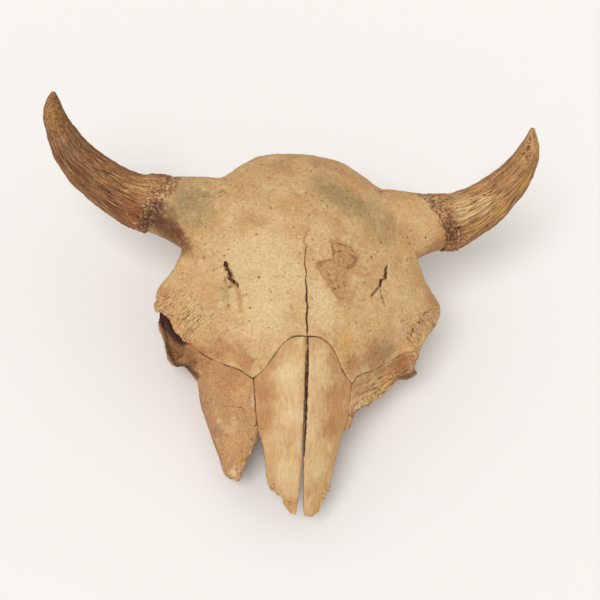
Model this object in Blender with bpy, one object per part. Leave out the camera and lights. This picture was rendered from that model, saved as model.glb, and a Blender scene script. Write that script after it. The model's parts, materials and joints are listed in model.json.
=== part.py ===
"""Bison skull without its lower jaw, life size, lying face up as it rests.

The skull is shaped whole in its face frame and then parted into its bones along the sutures.
Face frame: x to the animal's left, y from the nose towards the poll, z out of the forehead,
with the origin on the forehead between the eye sockets. All lengths are metres.
The parent empty turns that frame into the resting pose on the floor.
"""

import math

import bmesh
import bpy
import numpy as np
from mathutils import Matrix, Vector

# Driving sizes
POLL_Y = 0.1745
LENGTH_POLL_TO_NASAL_TIP = 0.385
NASAL_TIP_Y = POLL_Y - LENGTH_POLL_TO_NASAL_TIP
BRAINCASE_BREADTH = 0.106
MASTOID_BREADTH = 0.232
SUTURE_GAP = 0.0003
NASAL_THICKNESS = 0.0055
SPECK = 0.00002

# How finely the whole skull is shaped before it is parted
CLAY_VOXEL = 0.0025
CLAY_SMOOTHING = 6
CRANIUM_TRIANGLES = 7000
RING_POINTS = 40

# Eye socket: the rim is an ellipse whose lower front and upper back corners flare outwards.
# Its wall is thick below and thins towards the sharp margin under the brow.
ORBIT_CENTRE = Vector((0.1305, -0.024, -0.071))
ORBIT_OUTWARD = Vector((0.92, -0.39, 0.0)).normalized()
ORBIT_HALF_LENGTH = 0.030
ORBIT_HALF_HEIGHT = 0.027
ORBIT_RIM_WALL = 0.0070
ORBIT_FLARE = 0.0080
ORBIT_BROW_THINNING = 0.0035
ORBIT_LEFT_LIP = 0.0125

# Horn cores: the burr is a flat cut square to this axis
BURR_CENTRE = Vector((0.149, 0.108, -0.055))
BURR_AXIS = Vector((0.916, 0.401, 0.0)).normalized()
BURR_RADIUS = 0.0310

# Base of the skull
CONDYLE_CENTRE = Vector((0.033, 0.131, -0.166))
FORAMEN_CENTRE = Vector((0.0, 0.141, -0.161))
FORAMEN_RADIUS = 0.0185
JUGULAR_ROOT = Vector((0.072, 0.113, -0.148))
JUGULAR_TIP = Vector((0.068, 0.106, -0.201))
JAW_FOOT = Vector((0.063, -0.060, -0.134))

REST_PITCH = math.atan2(JAW_FOOT.z - JUGULAR_TIP.z, JUGULAR_TIP.y - JAW_FOOT.y)
FOOT_FLAT = 0.0012

# Heights at which the upper bones meet the lower ones
FRONTAL_FLOOR = -0.066
LACRIMAL_FLOOR = -0.086
PEDICLE_START = 0.098
PEDICLE_FLOOR = -0.0905

BONE = (0.60, 0.45, 0.27)
FACE_BONE = (0.55, 0.38, 0.22)
BASE_BONE = (0.56, 0.42, 0.27)
HORN_CORE = (0.40, 0.26, 0.14)


def through(stations):
    """A smooth function through (key, value) stations, level beyond both ends."""
    keys = np.array([s[0] for s in stations], float)
    values = np.array([s[1] for s in stations], float)
    slopes = np.gradient(values, keys)

    def at(t):
        t = np.clip(t, keys[0], keys[-1])
        i = np.clip(np.searchsorted(keys, t, side="right") - 1, 0, len(keys) - 2)
        span = keys[i + 1] - keys[i]
        s = (t - keys[i]) / span
        rise = values[i + 1] - values[i]
        ease = s * s * (3 - 2 * s)
        start = s * (1 - s) ** 2 * span * slopes[i]
        end = s * s * (s - 1) * span * slopes[i + 1]
        return values[i] + rise * ease + start + end

    return at


# Forehead: midline profile, half width of the roof, and how far its edge drops
midline_height = through([
    (NASAL_TIP_Y, -0.028), (-0.180, -0.0215), (-0.120, -0.015), (-0.070, -0.0095), (-0.034, -0.004),
    (0.0, 0.0), (0.045, 0.003), (0.085, 0.001), (0.115, -0.008), (0.138, -0.021), (0.156, -0.035),
    (0.168, -0.047), (POLL_Y, -0.058),
])
roof_half_width = through([
    (-0.075, 0.056), (-0.055, 0.084), (-0.040, 0.109), (-0.024, 0.1265), (-0.005, 0.1455),
    (0.004, 0.1495), (0.0115, 0.1485), (0.0245, 0.1405), (0.038, 0.1300), (0.050, 0.1255),
    (0.062, 0.1215), (0.078, 0.118),
    (0.100, 0.110), (0.120, 0.099), (0.136, 0.085), (0.150, 0.069), (0.162, 0.054),
    (0.170, 0.039), (POLL_Y, 0.023),
])
roof_left_extra = through([(-0.055, 0.004), (-0.030, 0.0055), (0.0, 0.0025), (0.050, 0.003), (0.080, 0.0)])
roof_edge_drop = through([
    (-0.075, 0.034), (-0.040, 0.052), (-0.020, 0.047), (0.004, 0.041), (0.028, 0.041),
    (0.055, 0.038), (0.080, 0.030), (0.100, 0.024), (0.120, 0.023), (0.136, 0.021),
    (0.150, 0.016), (0.162, 0.010), (0.170, 0.006), (POLL_Y, 0.003),
])
roof_edge_depth = through([
    (-0.075, 0.020), (-0.040, 0.012), (-0.010, 0.0075), (0.010, 0.0075), (0.040, 0.014), (0.070, 0.022),
    (0.110, 0.024), (0.140, 0.022), (0.160, 0.018), (POLL_Y, 0.012),
])
roof_middle_depth = through([
    (-0.075, 0.050), (0.0, 0.045), (0.080, 0.045), (0.130, 0.040), (0.155, 0.030), (POLL_Y, 0.014),
])
ROOF_ARCH_POWER = 2.1

# Upper jaw: half width, height of its widest line, depth of its sides below that line
muzzle_half_width = through([
    (NASAL_TIP_Y - 0.006, 0.050), (-0.190, 0.062), (-0.168, 0.071), (-0.154, 0.0755), (-0.134, 0.0825),
    (-0.113, 0.0900), (-0.092, 0.0965), (-0.072, 0.099), (-0.055, 0.104), (-0.020, 0.100),
])
muzzle_limb_height = through([
    (NASAL_TIP_Y - 0.006, -0.060), (-0.160, -0.064), (-0.120, -0.070), (-0.080, -0.076), (-0.020, -0.082),
])
jaw_depth = through([
    (NASAL_TIP_Y - 0.006, 0.012), (-0.150, 0.030), (-0.090, 0.052), (-0.020, 0.050),
])
jaw_foot_half_width = through([
    (NASAL_TIP_Y - 0.006, 0.044), (-0.150, 0.064), (-0.080, 0.078), (-0.020, 0.074),
])
cavity_wall = through([
    (NASAL_TIP_Y - 0.006, 0.0055), (-0.140, 0.0058), (-0.095, 0.0070), (-0.070, 0.0130), (-0.050, 0.034),
    (-0.034, 0.060),
])
cavity_floor_half_width = through([
    (NASAL_TIP_Y - 0.006, 0.040), (-0.150, 0.057), (-0.100, 0.050), (-0.070, 0.044), (-0.034, 0.024),
])
MUZZLE_ARCH_POWER = 1.55


def forehead(x, y):
    """Height of the outer surface of the forehead."""
    across = np.abs(x) / roof_half_width(y)
    return midline_height(y) - roof_edge_drop(y) * across**ROOF_ARCH_POWER


def to_side(point, side):
    """A point of the left half, or its mirror image where side is -1."""
    return Vector((point[0] * side, point[1], point[2]))


def linked(name, mesh):
    obj = bpy.data.objects.new(name, mesh)
    bpy.context.scene.collection.objects.link(obj)
    return obj


def mesh_object(name, points, faces):
    """A closed mesh object from points and faces, with its faces turned outwards."""
    mesh = bpy.data.meshes.new(name)
    mesh.from_pydata([tuple(p) for p in points], [], faces)
    shape = bmesh.new()
    shape.from_mesh(mesh)
    bmesh.ops.recalc_face_normals(shape, faces=shape.faces)
    shape.to_mesh(mesh)
    shape.free()
    return linked(name, mesh)


def loft(name, rings):
    """A closed skin over rings of equal point counts, each end closed by a fan."""
    count = len(rings[0])
    points = [p for ring in rings for p in ring]
    faces = []
    for k in range(len(rings) - 1):
        low, high = k * count, (k + 1) * count
        for i in range(count):
            j = (i + 1) % count
            faces.append((low + i, low + j, high + j))
            faces.append((low + i, high + j, high + i))
    for k in (0, len(rings) - 1):
        hub = len(points)
        points.append(np.mean(rings[k], axis=0))
        faces += [(hub, k * count + (i + 1) % count, k * count + i) for i in range(count)]
    return mesh_object(name, points, faces)


def ellipse(centre, along_u, along_v, half_u, half_v, count=RING_POINTS):
    """A ring of points round an ellipse."""
    turn = np.linspace(0, 2 * math.pi, count, endpoint=False)
    u, v = np.array(along_u) * half_u, np.array(along_v) * half_v
    return np.array(centre) + np.outer(np.cos(turn), u) + np.outer(np.sin(turn), v)


def tube(name, path, widths, heights, up=(0, 0, 1), count=24):
    """An elliptical tube along path, as wide and as high as its stations say."""
    path = [Vector(p) for p in path]
    rings = []
    for i, centre in enumerate(path):
        ahead = path[min(i + 1, len(path) - 1)] - path[max(i - 1, 0)]
        side = ahead.cross(Vector(up)).normalized()
        rise = side.cross(ahead).normalized()
        rings.append(ellipse(centre, side, rise, widths[i], heights[i], count))
    return loft(name, rings)


def egg(name, centre, radii, turn_z=0.0, turn_x=0.0):
    """An ellipsoid, turned about x and then about z."""
    shape = bmesh.new()
    turn = Matrix.Rotation(turn_z, 4, "Z") @ Matrix.Rotation(turn_x, 4, "X")
    place = Matrix.Translation(Vector(centre)) @ turn @ Matrix.Diagonal((*radii, 1))
    bmesh.ops.create_uvsphere(shape, u_segments=24, v_segments=14, radius=1, matrix=place)
    mesh = bpy.data.meshes.new(name)
    shape.to_mesh(mesh)
    shape.free()
    return linked(name, mesh)


def prism(name, outline, low, high, axis="z"):
    """A polygon drawn out between two heights, or between two sideways stations."""
    count = len(outline)
    if axis == "z":
        points = [(x, y, z) for z in (low, high) for x, y in outline]
    else:
        points = [(x, y, z) for x in (low, high) for y, z in outline]
    faces = [tuple(range(count)), tuple(range(count, 2 * count))]
    faces += [(i, (i + 1) % count, count + (i + 1) % count, count + i) for i in range(count)]
    return mesh_object(name, points, faces)


def grown(outline, distance):
    """The outline moved outwards by a distance, corner by corner."""
    area = sum(a[0] * b[1] - b[0] * a[1] for a, b in zip(outline, outline[1:] + outline[:1]))
    sense = 1 if area > 0 else -1
    moved = []
    for i, point in enumerate(outline):
        before = (Vector(point) - Vector(outline[i - 1])).normalized()
        after = (Vector(outline[(i + 1) % len(outline)]) - Vector(point)).normalized()
        bisector = Vector((before.y + after.y, -before.x - after.x)) * sense
        reach = distance / max(0.35, bisector.length_squared / 2)
        moved.append(tuple(Vector(point) + bisector * reach))
    return moved


def roof_ring(y):
    """Cross-section of the frontal roof: the forehead above, the roof of the brain below."""
    across = np.sin(np.linspace(-1, 1, 25) * math.pi / 2)
    x = across * roof_half_width(y)
    top = forehead(x, y)
    x = np.where(x > 0, x + np.abs(across) * roof_left_extra(y), x)
    edge, middle = roof_edge_depth(y), roof_middle_depth(y)
    bottom = top - edge - (middle - edge) * (1 - across**2)
    upper = [(px, y, pz) for px, pz in zip(x, top)]
    lower = [(px, y, pz) for px, pz in zip(x, bottom)]
    return np.array(upper + lower[::-1])


def frontal_roof():
    behind = [0.157, 0.163, 0.168, 0.172, POLL_Y]
    stations = np.concatenate([np.linspace(-0.072, 0.150, 38), behind])
    return loft("clay_roof", [roof_ring(y) for y in stations])


def arch_points(y, half, top, limb, count=25):
    """Points of a rounded arch from one side of the upper jaw over to the other."""
    across = -np.cos(np.linspace(0, math.pi, count))
    rise = np.clip(1 - np.abs(across) ** MUZZLE_ARCH_POWER, 0, 1) ** (1 / MUZZLE_ARCH_POWER)
    return [(half * a, y, limb + (top - limb) * r) for a, r in zip(across, rise)]


def muzzle_ring(y):
    """Cross-section of the upper jaw: an arch over the nose and sides that draw in below."""
    half, limb = float(muzzle_half_width(y)), float(muzzle_limb_height(y))
    foot, depth = float(jaw_foot_half_width(y)), float(jaw_depth(y))
    lower = [(half - s**2 * (half - foot), y, limb - s * depth) for s in (0.35, 0.65, 0.9, 1.0)]
    mirrored = [(-x, y, z) for x, _, z in reversed(lower)]
    return np.array(arch_points(y, half, float(midline_height(y)), limb) + lower + mirrored)


def muzzle():
    stations = np.linspace(NASAL_TIP_Y - 0.006, -0.022, 30)
    return loft("clay_muzzle", [muzzle_ring(y) for y in stations])


def rounded_box(y, half_width, top, bottom, power=2.6, count=RING_POINTS):
    """A rounded box cross-section."""
    turn = np.linspace(0, 2 * math.pi, count, endpoint=False)
    c, s = np.cos(turn), np.sin(turn)
    x = np.sign(c) * np.abs(c) ** (2 / power) * half_width
    z = np.sign(s) * np.abs(s) ** (2 / power) * (top - bottom) / 2 + (top + bottom) / 2
    return np.stack([x, np.full(count, y), z], axis=1)


def braincase():
    """The braincase, seen in the temporal fossae, with the parietals behind it."""
    half = BRAINCASE_BREADTH / 2
    rings = [
        (-0.038, half * 0.50, -0.034, -0.092), (-0.016, half * 0.68, -0.030, -0.112),
        (0.012, half * 0.86, -0.026, -0.136), (0.042, half, -0.024, -0.152),
        (0.066, half * 1.08, -0.024, -0.164), (0.088, half * 1.28, -0.026, -0.170),
        (0.106, half * 1.58, -0.032, -0.170), (0.122, half * 1.72, -0.040, -0.160),
        (0.136, half * 1.62, -0.047, -0.144), (0.148, half * 1.36, -0.052, -0.122),
        (0.158, half * 1.04, -0.056, -0.100), (0.167, half * 0.62, -0.058, -0.080),
    ]
    return loft("clay_braincase", [rounded_box(*r) for r in rings])


def nuchal_wing():
    """The broad lower back of the skull that ends sideways in the mastoids."""
    half = MASTOID_BREADTH / 2
    rings = [
        (0.080, half * 0.52, -0.104, -0.158), (0.090, half * 0.78, -0.100, -0.157),
        (0.099, half * 0.94, -0.098, -0.156), (0.109, half, -0.097, -0.154),
        (0.119, half * 0.96, -0.095, -0.150), (0.128, half * 0.84, -0.090, -0.146),
        (0.137, half * 0.66, -0.084, -0.140), (0.144, half * 0.46, -0.080, -0.132),
    ]
    return loft("clay_nuchal", [rounded_box(*r, power=2.3) for r in rings])


def nuchal_crest():
    """Ridge where the neck muscles ended, arched from one mastoid over to the other."""
    half = [
        (0.106, 0.108, -0.122), (0.103, 0.120, -0.106), (0.088, 0.133, -0.092), (0.068, 0.145, -0.081),
        (0.046, 0.154, -0.073), (0.022, 0.161, -0.069),
    ]
    path = [(-x, y, z) for x, y, z in half] + [(0, 0.164, -0.068)] + half[::-1]
    widths = [0.0030, 0.0050, 0.0065, 0.0070, 0.0075, 0.0080]
    heights = [0.0040, 0.0065, 0.0085, 0.0090, 0.0100, 0.0105]
    widths += [widths[-1]] + widths[::-1]
    heights += [heights[-1]] + heights[::-1]
    return tube("clay_crest", path, widths, heights, up=(0, 1, 0.4))


def orbit_ring(side, out, grow, thinning=0.0):
    """One ring of the eye-socket rim; the flare bends it off a plane, the thinning lowers its top."""
    outward = to_side(ORBIT_OUTWARD, side)
    along = to_side((-ORBIT_OUTWARD.y, ORBIT_OUTWARD.x, 0), side)
    centre = to_side(ORBIT_CENTRE, side)
    turn = np.linspace(0, 2 * math.pi, RING_POINTS, endpoint=False)
    middle = centre + outward * out
    ring = ellipse(middle, along, (0, 0, 1), ORBIT_HALF_LENGTH + grow, ORBIT_HALF_HEIGHT + grow)
    ring[:, 2] -= thinning * np.clip(np.sin(turn), 0, 1)
    flare = np.sin(2 * turn) * ORBIT_FLARE
    if side > 0:
        flare = flare + ORBIT_LEFT_LIP * np.clip(-np.cos(turn + 0.25), 0, 1)
    return ring + np.outer(flare, np.array(outward))


def orbit_rim(side):
    """The short tube round the eye socket; its hind part is the bar behind the eye."""
    steps = ((0.002, -0.003), (0.0, 0.0), (-0.008, 0.001), (-0.018, 0.003), (-0.028, 0.007))
    thin = ORBIT_BROW_THINNING
    return loft("clay_orbit", [orbit_ring(side, out, ORBIT_RIM_WALL + grow, thin) for out, grow in steps])


def eye_socket(side):
    """The hollow of the eye socket, a cone that runs in and back under the forehead."""
    steps = (
        (0.030, 0.010), (0.005, 0.0015), (-0.006, -0.0005), (-0.022, 0.0), (-0.040, -0.004),
        (-0.054, -0.012), (-0.064, -0.020),
    )
    return loft("cut_eye_socket", [orbit_ring(side, out, grow) for out, grow in steps])


def zygomatic_arch(side):
    """Cheek arch from the lower rim of the eye socket back to the ear region."""
    path = [
        (0.113, -0.050, -0.099), (0.124, -0.037, -0.101), (0.126, -0.018, -0.106),
        (0.120, 0.006, -0.111), (0.114, 0.030, -0.116), (0.1105, 0.052, -0.120),
        (0.109, 0.070, -0.123), (0.103, 0.086, -0.126), (0.092, 0.096, -0.128),
    ]
    widths = [0.0100, 0.0085, 0.0070, 0.0060, 0.0055, 0.0060, 0.0080, 0.0110, 0.0130]
    heights = [0.0120, 0.0115, 0.0110, 0.0100, 0.0095, 0.0100, 0.0110, 0.0125, 0.0140]
    return tube("clay_arch", [to_side(p, side) for p in path], widths, heights)


def cheek_root(side):
    """Mass between the front of the eye socket, the nose and the jaw foot."""
    reach, widths = 0.93, [0.018, 0.0145, 0.010, 0.006]
    if side > 0:
        reach, widths = 1.09, [0.020, 0.0185, 0.016, 0.013]
    path = [
        (0.074, -0.070, -0.082), (0.096, -0.060, -0.085), (0.112, -0.050, -0.089),
        (0.120, -0.042, -0.091),
    ]
    path = [to_side((x * reach, y, z), side) for x, y, z in path]
    return tube("clay_cheek", path, widths, [0.026, 0.020, 0.0145, 0.010])


def jaw_joint(side):
    """The smooth swelling in front of the ear on which the lower jaw turned."""
    centre = to_side((0.088, 0.078, -0.131), side)
    return egg("clay_joint", centre, (0.023, 0.012, 0.009), turn_z=-0.2 * side)


def pedicle(side):
    """Stalk that carries the horn core, running past the burr plane so that it can be cut flat."""
    path = [
        (0.060, 0.088, -0.048), (0.085, 0.094, -0.049), (0.104, 0.098, -0.050),
        (0.122, 0.1015, -0.052), (0.136, 0.1052, -0.054),
    ]
    path = [Vector(p) for p in path] + [BURR_CENTRE + BURR_AXIS * d for d in (0.0, 0.012)]
    wide = [0.038, 0.0425, 0.0415, 0.0370, 0.0325, BURR_RADIUS, BURR_RADIUS]
    tall = [0.026, 0.0280, 0.0290, 0.0300, 0.0305, 0.0305, 0.0300]
    return tube("clay_pedicle", [to_side(p, side) for p in path], wide, tall, count=32)


def condyle(side):
    radii = (0.0215, 0.0215, 0.0245)
    return egg("clay_condyle", to_side(CONDYLE_CENTRE, side), radii, turn_z=-0.5 * side, turn_x=0.3)


def jugular_process(side):
    """Flat prong beside the condyle, tapering down to the floor."""
    root, tip = to_side(JUGULAR_ROOT, side), to_side(JUGULAR_TIP, side)
    inside = root + Vector((0, -0.002, 0.022))
    path = [inside, root] + [root.lerp(tip, t) for t in (0.25, 0.5, 0.75, 0.95, 1.08)]
    widths = [0.0100, 0.0175, 0.0130, 0.0095, 0.0078, 0.0064, 0.0056]
    depths = [0.0080, 0.0150, 0.0150, 0.0135, 0.0120, 0.0100, 0.0085]
    return tube("clay_jugular", path, widths, depths, up=(0, 1, 0))


def cranial_base():
    """Bar of bone under the brain, from the condyles forward to the nose."""
    path = [
        (0, 0.136, -0.184), (0, 0.120, -0.178), (0, 0.100, -0.172), (0, 0.072, -0.162),
        (0, 0.036, -0.147), (0, 0.0, -0.129), (0, -0.034, -0.108),
    ]
    widths = [0.022, 0.026, 0.023, 0.017, 0.013, 0.011, 0.009]
    heights = [0.006, 0.014, 0.015, 0.014, 0.015, 0.018, 0.022]
    return tube("clay_base", path, widths, heights)


def base_tubercle(side):
    return egg("clay_tubercle", to_side((0.013, 0.090, -0.178), side), (0.009, 0.013, 0.009))


def ear_bulla(side):
    centre = to_side((0.049, 0.084, -0.166), side)
    return egg("clay_bulla", centre, (0.014, 0.020, 0.016), turn_z=0.3 * side)


def ear_tube(side):
    """Bony tube round the ear opening."""
    path = ((0.108, 0.096, -0.136), (0.088, 0.093, -0.140), (0.066, 0.090, -0.146))
    radii = [0.010, 0.010, 0.012]
    return tube("clay_ear", [to_side(p, side) for p in path], radii, radii, count=16)


def pterygoid_plate(side):
    """Plate beside the hind opening of the nose, joining jaw foot and brain base."""
    path = [
        (0.050, -0.030, -0.112), (0.038, -0.008, -0.124), (0.028, 0.018, -0.136), (0.022, 0.044, -0.149),
    ]
    widths, heights = [0.010, 0.0055, 0.0050, 0.0060], [0.020, 0.018, 0.015, 0.012]
    return tube("clay_pterygoid", [to_side(p, side) for p in path], widths, heights)


def jaw_foot(side):
    """Swollen hind end of the upper jaw over the lost last molars."""
    x, y, _ = JAW_FOOT
    path = [
        (x, y - 0.026, -0.098), (x, y - 0.010, -0.104), (x, y + 0.012, -0.104),
        (x - 0.003, y + 0.030, -0.098),
    ]
    widths, heights = [0.012, 0.0145, 0.0145, 0.011], [0.024, 0.038, 0.038, 0.026]
    return tube("clay_jaw_foot", [to_side(p, side) for p in path], widths, heights)


def joined(name, objects):
    """One object holding the meshes of several, which are then removed."""
    merged = bmesh.new()
    for obj in objects:
        merged.from_mesh(obj.data)
        bpy.data.objects.remove(obj)
    mesh = bpy.data.meshes.new(name)
    merged.to_mesh(mesh)
    merged.free()
    return linked(name, mesh)


def applied(obj):
    """Replaces an object's mesh by what its modifiers make of it."""
    graph = bpy.context.evaluated_depsgraph_get()
    made = bpy.data.meshes.new_from_object(obj.evaluated_get(graph))
    obj.modifiers.clear()
    obj.data = made
    return obj


def shaped_whole():
    """The unbroken skull: overlapping clay fused by a voxel remesh and smoothed."""
    clay = [frontal_roof(), muzzle(), braincase(), nuchal_wing(), nuchal_crest(), cranial_base()]
    for side in (1, -1):
        clay += [orbit_rim(side), zygomatic_arch(side), cheek_root(side), jaw_joint(side)]
        clay += [pedicle(side), condyle(side), jugular_process(side), base_tubercle(side)]
        clay += [ear_bulla(side), ear_tube(side), pterygoid_plate(side), jaw_foot(side)]
    whole = joined("whole", clay)
    remesh = whole.modifiers.new("fuse", "REMESH")
    remesh.mode = "VOXEL"
    remesh.voxel_size = CLAY_VOXEL
    smooth = whole.modifiers.new("blend", "SMOOTH")
    smooth.factor = 0.5
    smooth.iterations = CLAY_SMOOTHING
    return applied(whole)


def nasal_cavity():
    """The nose hollow under the nasal bones, open in front and below."""
    rings = []
    for y in np.linspace(NASAL_TIP_Y - 0.020, -0.036, 28):
        half = float(muzzle_half_width(y) - cavity_wall(y))
        limb, low = float(muzzle_limb_height(y)), float(cavity_floor_half_width(y))
        roof = float(midline_height(y)) - NASAL_THICKNESS
        lower = [(half - (half - low) * s, y, limb - 0.030 * s) for s in (0.4, 0.8, 1.0)]
        lower.append((low, y, -0.180))
        mirrored = [(-x, y, z) for x, _, z in reversed(lower)]
        rings.append(np.array(arch_points(y, half, roof, limb) + lower + mirrored))
    return loft("cut_nose", rings)


def foramen_magnum():
    """The round opening of the braincase between the condyles."""
    path = [FORAMEN_CENTRE + Vector((0, d, -d * 0.35)) for d in (0.050, 0.010, -0.020, -0.045, -0.056)]
    radii = [FORAMEN_RADIUS * k for k in (1.25, 1.0, 1.0, 0.8, 0.4)]
    return tube("cut_foramen", path, radii, radii)


def ear_opening(side):
    path = ((0.122, 0.098, -0.134), (0.098, 0.095, -0.138), (0.078, 0.092, -0.143))
    radii = [0.0055, 0.0050, 0.0035]
    return tube("cut_ear", [to_side(p, side) for p in path], radii, radii, count=12)


# Supraorbital foramen: where its slit runs, and its half width and depth at each point
BROW_SLOT_RIGHT = [
    ((-0.0825, 0.0400), 0.0012, 0.004), ((-0.0805, 0.0360), 0.0030, 0.010),
    ((-0.0765, 0.0255), 0.0020, 0.009), ((-0.0715, 0.0190), 0.0022, 0.008),
    ((-0.0680, 0.0120), 0.0012, 0.005), ((-0.0665, -0.0060), 0.0008, 0.003),
]
BROW_SLOT_LEFT = [
    ((0.0864, 0.0480), 0.0010, 0.003), ((0.0858, 0.0430), 0.0020, 0.009),
    ((0.0840, 0.0330), 0.0022, 0.009), ((0.0785, 0.0275), 0.0018, 0.007),
    ((0.0722, 0.0195), 0.0010, 0.004), ((0.0662, 0.0110), 0.0007, 0.002),
]


def brow_slot(side):
    """The slit of the supraorbital foramen with its groove towards the nose."""
    stations = BROW_SLOT_LEFT if side > 0 else BROW_SLOT_RIGHT
    path = [(x, y, float(forehead(x, y))) for (x, y), _, _ in stations]
    return tube("cut_brow", path, [s[1] for s in stations], [s[2] for s in stations], count=12)


def cleaned(obj):
    """Welds the specks that a cut leaves and turns every face into triangles."""
    shape = bmesh.new()
    shape.from_mesh(obj.data)
    bmesh.ops.triangulate(shape, faces=shape.faces)
    bmesh.ops.remove_doubles(shape, verts=shape.verts, dist=SPECK)
    bmesh.ops.dissolve_degenerate(shape, edges=shape.edges, dist=SPECK)
    bmesh.ops.triangulate(shape, faces=shape.faces)
    shape.to_mesh(obj.data)
    shape.free()


def cut(obj, cutters, operation="DIFFERENCE"):
    """Applies a Boolean with each cutter in turn, then removes the cutters."""
    for cutter in cutters:
        step = obj.modifiers.new("cut", "BOOLEAN")
        step.operation = operation
        step.solver = "EXACT"
        step.object = cutter
        applied(obj)
        bpy.data.objects.remove(cutter)
        cleaned(obj)
    return obj


def burr_block(side, start, end):
    """A thick round slice square to the horn axis, from one distance off the burr to another."""
    axis = to_side(BURR_AXIS, side)
    centre = to_side(BURR_CENTRE, side)
    along = Vector((0, 0, 1)).cross(axis)
    rings = [ellipse(centre + axis * d, along, (0, 0, 1), 0.060, 0.060, 24) for d in (start, end)]
    return loft("cut_burr", rings)


JAW_BREAK = through([
    (-0.250, -0.046), (-0.185, -0.060), (-0.158, -0.073), (-0.146, -0.081), (-0.126, -0.089),
    (-0.110, -0.101), (-0.096, -0.108), (-0.086, -0.120), (-0.078, -0.140), (-0.072, -0.170),
])
JAW_BREAK_WAVES = ((0.0009, 310, 170, 0.4), (0.0005, 520, -260, 1.9))


def jaw_break(side):
    """Everything below the broken lower edge of an upper jaw; the break is wavy along and across."""
    stations = np.linspace(-0.250, -0.072, 40)
    rings = []
    for x in np.linspace(0.030, 0.160, 20) * side:
        height = JAW_BREAK(stations)
        for depth, along, across, phase in JAW_BREAK_WAVES:
            height = height + depth * np.sin(along * stations + across * x + phase)
        edge = [(x, y, z) for y, z in zip(stations, height)]
        rings.append(np.array(edge + [(x, -0.072, -0.210), (x, -0.250, -0.210)]))
    return loft("cut_jaw", rings)


def floor_block():
    """Everything under the floor plane, in the face frame."""
    turn = Matrix.Rotation(-REST_PITCH, 4, "X")
    level = JUGULAR_TIP.y * math.sin(REST_PITCH) + JUGULAR_TIP.z * math.cos(REST_PITCH) + FOOT_FLAT
    corners = [(x, y, z) for x in (-0.4, 0.4) for y in (-0.4, 0.4) for z in (level - 0.2, level)]
    faces = [(0, 1, 3, 2), (4, 6, 7, 5), (0, 4, 5, 1), (2, 3, 7, 6), (0, 2, 6, 4), (1, 5, 7, 3)]
    return mesh_object("cut_floor", [turn @ Vector(c) for c in corners], faces)


def thinned(obj, triangles):
    """Fewer triangles, spent where the surface curves."""
    count = sum(len(p.vertices) - 2 for p in obj.data.polygons)
    thin = obj.modifiers.new("thin", "DECIMATE")
    thin.ratio = triangles / count
    return applied(obj)


def largest_body(obj):
    """Keeps only the largest closed surface of an object."""
    shape = bmesh.new()
    shape.from_mesh(obj.data)
    unseen = set(shape.verts)
    bodies = []
    while unseen:
        body, front = set(), [unseen.pop()]
        while front:
            vert = front.pop()
            body.add(vert)
            for edge in vert.link_edges:
                other = edge.other_vert(vert)
                if other in unseen:
                    unseen.discard(other)
                    front.append(other)
        bodies.append(body)
    bodies.sort(key=len)
    for body in bodies[:-1]:
        bmesh.ops.delete(shape, geom=list(body), context="VERTS")
    shape.to_mesh(obj.data)
    shape.free()
    return obj


def copied(obj, name):
    return linked(name, obj.data.copy())


def region(parts, gap):
    """The space of a bone: one or more overlapping prisms, each grown by a gap."""
    spaces = [prism("region", grown(edge, gap), low - gap, high + gap) for edge, low, high in parts]
    return cut(spaces[0], spaces[1:], "UNION")


def parted(whole, name, *parts):
    """Takes the bone inside the prisms out of the whole, leaving a suture gap round it."""
    bone = cut(copied(whole, name), [region(parts, 0.0)], "INTERSECT")
    cut(whole, [region(parts, SUTURE_GAP)])
    return largest_body(bone)


# Outlines of the bones of the face, seen along the z axis, the right ones with negative x
NASAL_RIGHT = [
    (0.0010, -0.0336), (-0.0078, -0.0328), (-0.0155, -0.0352), (-0.0228, -0.0420), (-0.0291, -0.0518),
    (-0.0336, -0.0587), (-0.0390, -0.0665), (-0.0483, -0.0752), (-0.0472, -0.0850), (-0.0455, -0.1040),
    (-0.0436, -0.1180), (-0.0404, -0.1300), (-0.0361, -0.1435), (-0.0337, -0.1553), (-0.0317, -0.1710),
    (-0.0280, -0.1845), (-0.0258, -0.1832), (-0.0238, -0.1866), (-0.0170, -0.1903), (-0.0127, -0.1999),
    (-0.0075, -0.2066), (-0.0025, -0.2080), (-0.0012, -0.1940), (0.0004, -0.1745), (0.0012, -0.1550),
    (0.0009, -0.1370), (0.0016, -0.0960), (0.0010, -0.0600),
]
NASAL_LEFT = [
    (0.0024, -0.0336), (0.0100, -0.0330), (0.0171, -0.0343), (0.0262, -0.0405), (0.0345, -0.0517),
    (0.0396, -0.0610), (0.0443, -0.0670), (0.0530, -0.0765), (0.0513, -0.0920), (0.0498, -0.1050),
    (0.0487, -0.1150), (0.0457, -0.1215), (0.0431, -0.1250), (0.0393, -0.1430), (0.0356, -0.1610),
    (0.0320, -0.1790), (0.0314, -0.1848), (0.0287, -0.1836), (0.0281, -0.1870), (0.0251, -0.1930),
    (0.0204, -0.2048), (0.0142, -0.2100), (0.0066, -0.2082), (0.0042, -0.1840), (0.0026, -0.1550),
    (0.0027, -0.1430), (0.0039, -0.0960), (0.0028, -0.0600),
]
LACRIMAL_SUTURE = [
    (0.0567, -0.0690), (0.0644, -0.0640), (0.0750, -0.0600), (0.0950, -0.0490), (0.1130, -0.0385),
    (0.1750, -0.0300),
]
LACRIMAL_RIGHT_LOWER = [
    (-0.1750, -0.0560), (-0.1220, -0.0590), (-0.1020, -0.0780), (-0.0880, -0.0920), (-0.0750, -0.1010),
    (-0.0676, -0.1015), (-0.0570, -0.1035), (-0.0545, -0.1130), (-0.0505, -0.1205), (-0.0440, -0.1217),
    (-0.0458, -0.1040), (-0.0475, -0.0850),
]
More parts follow.
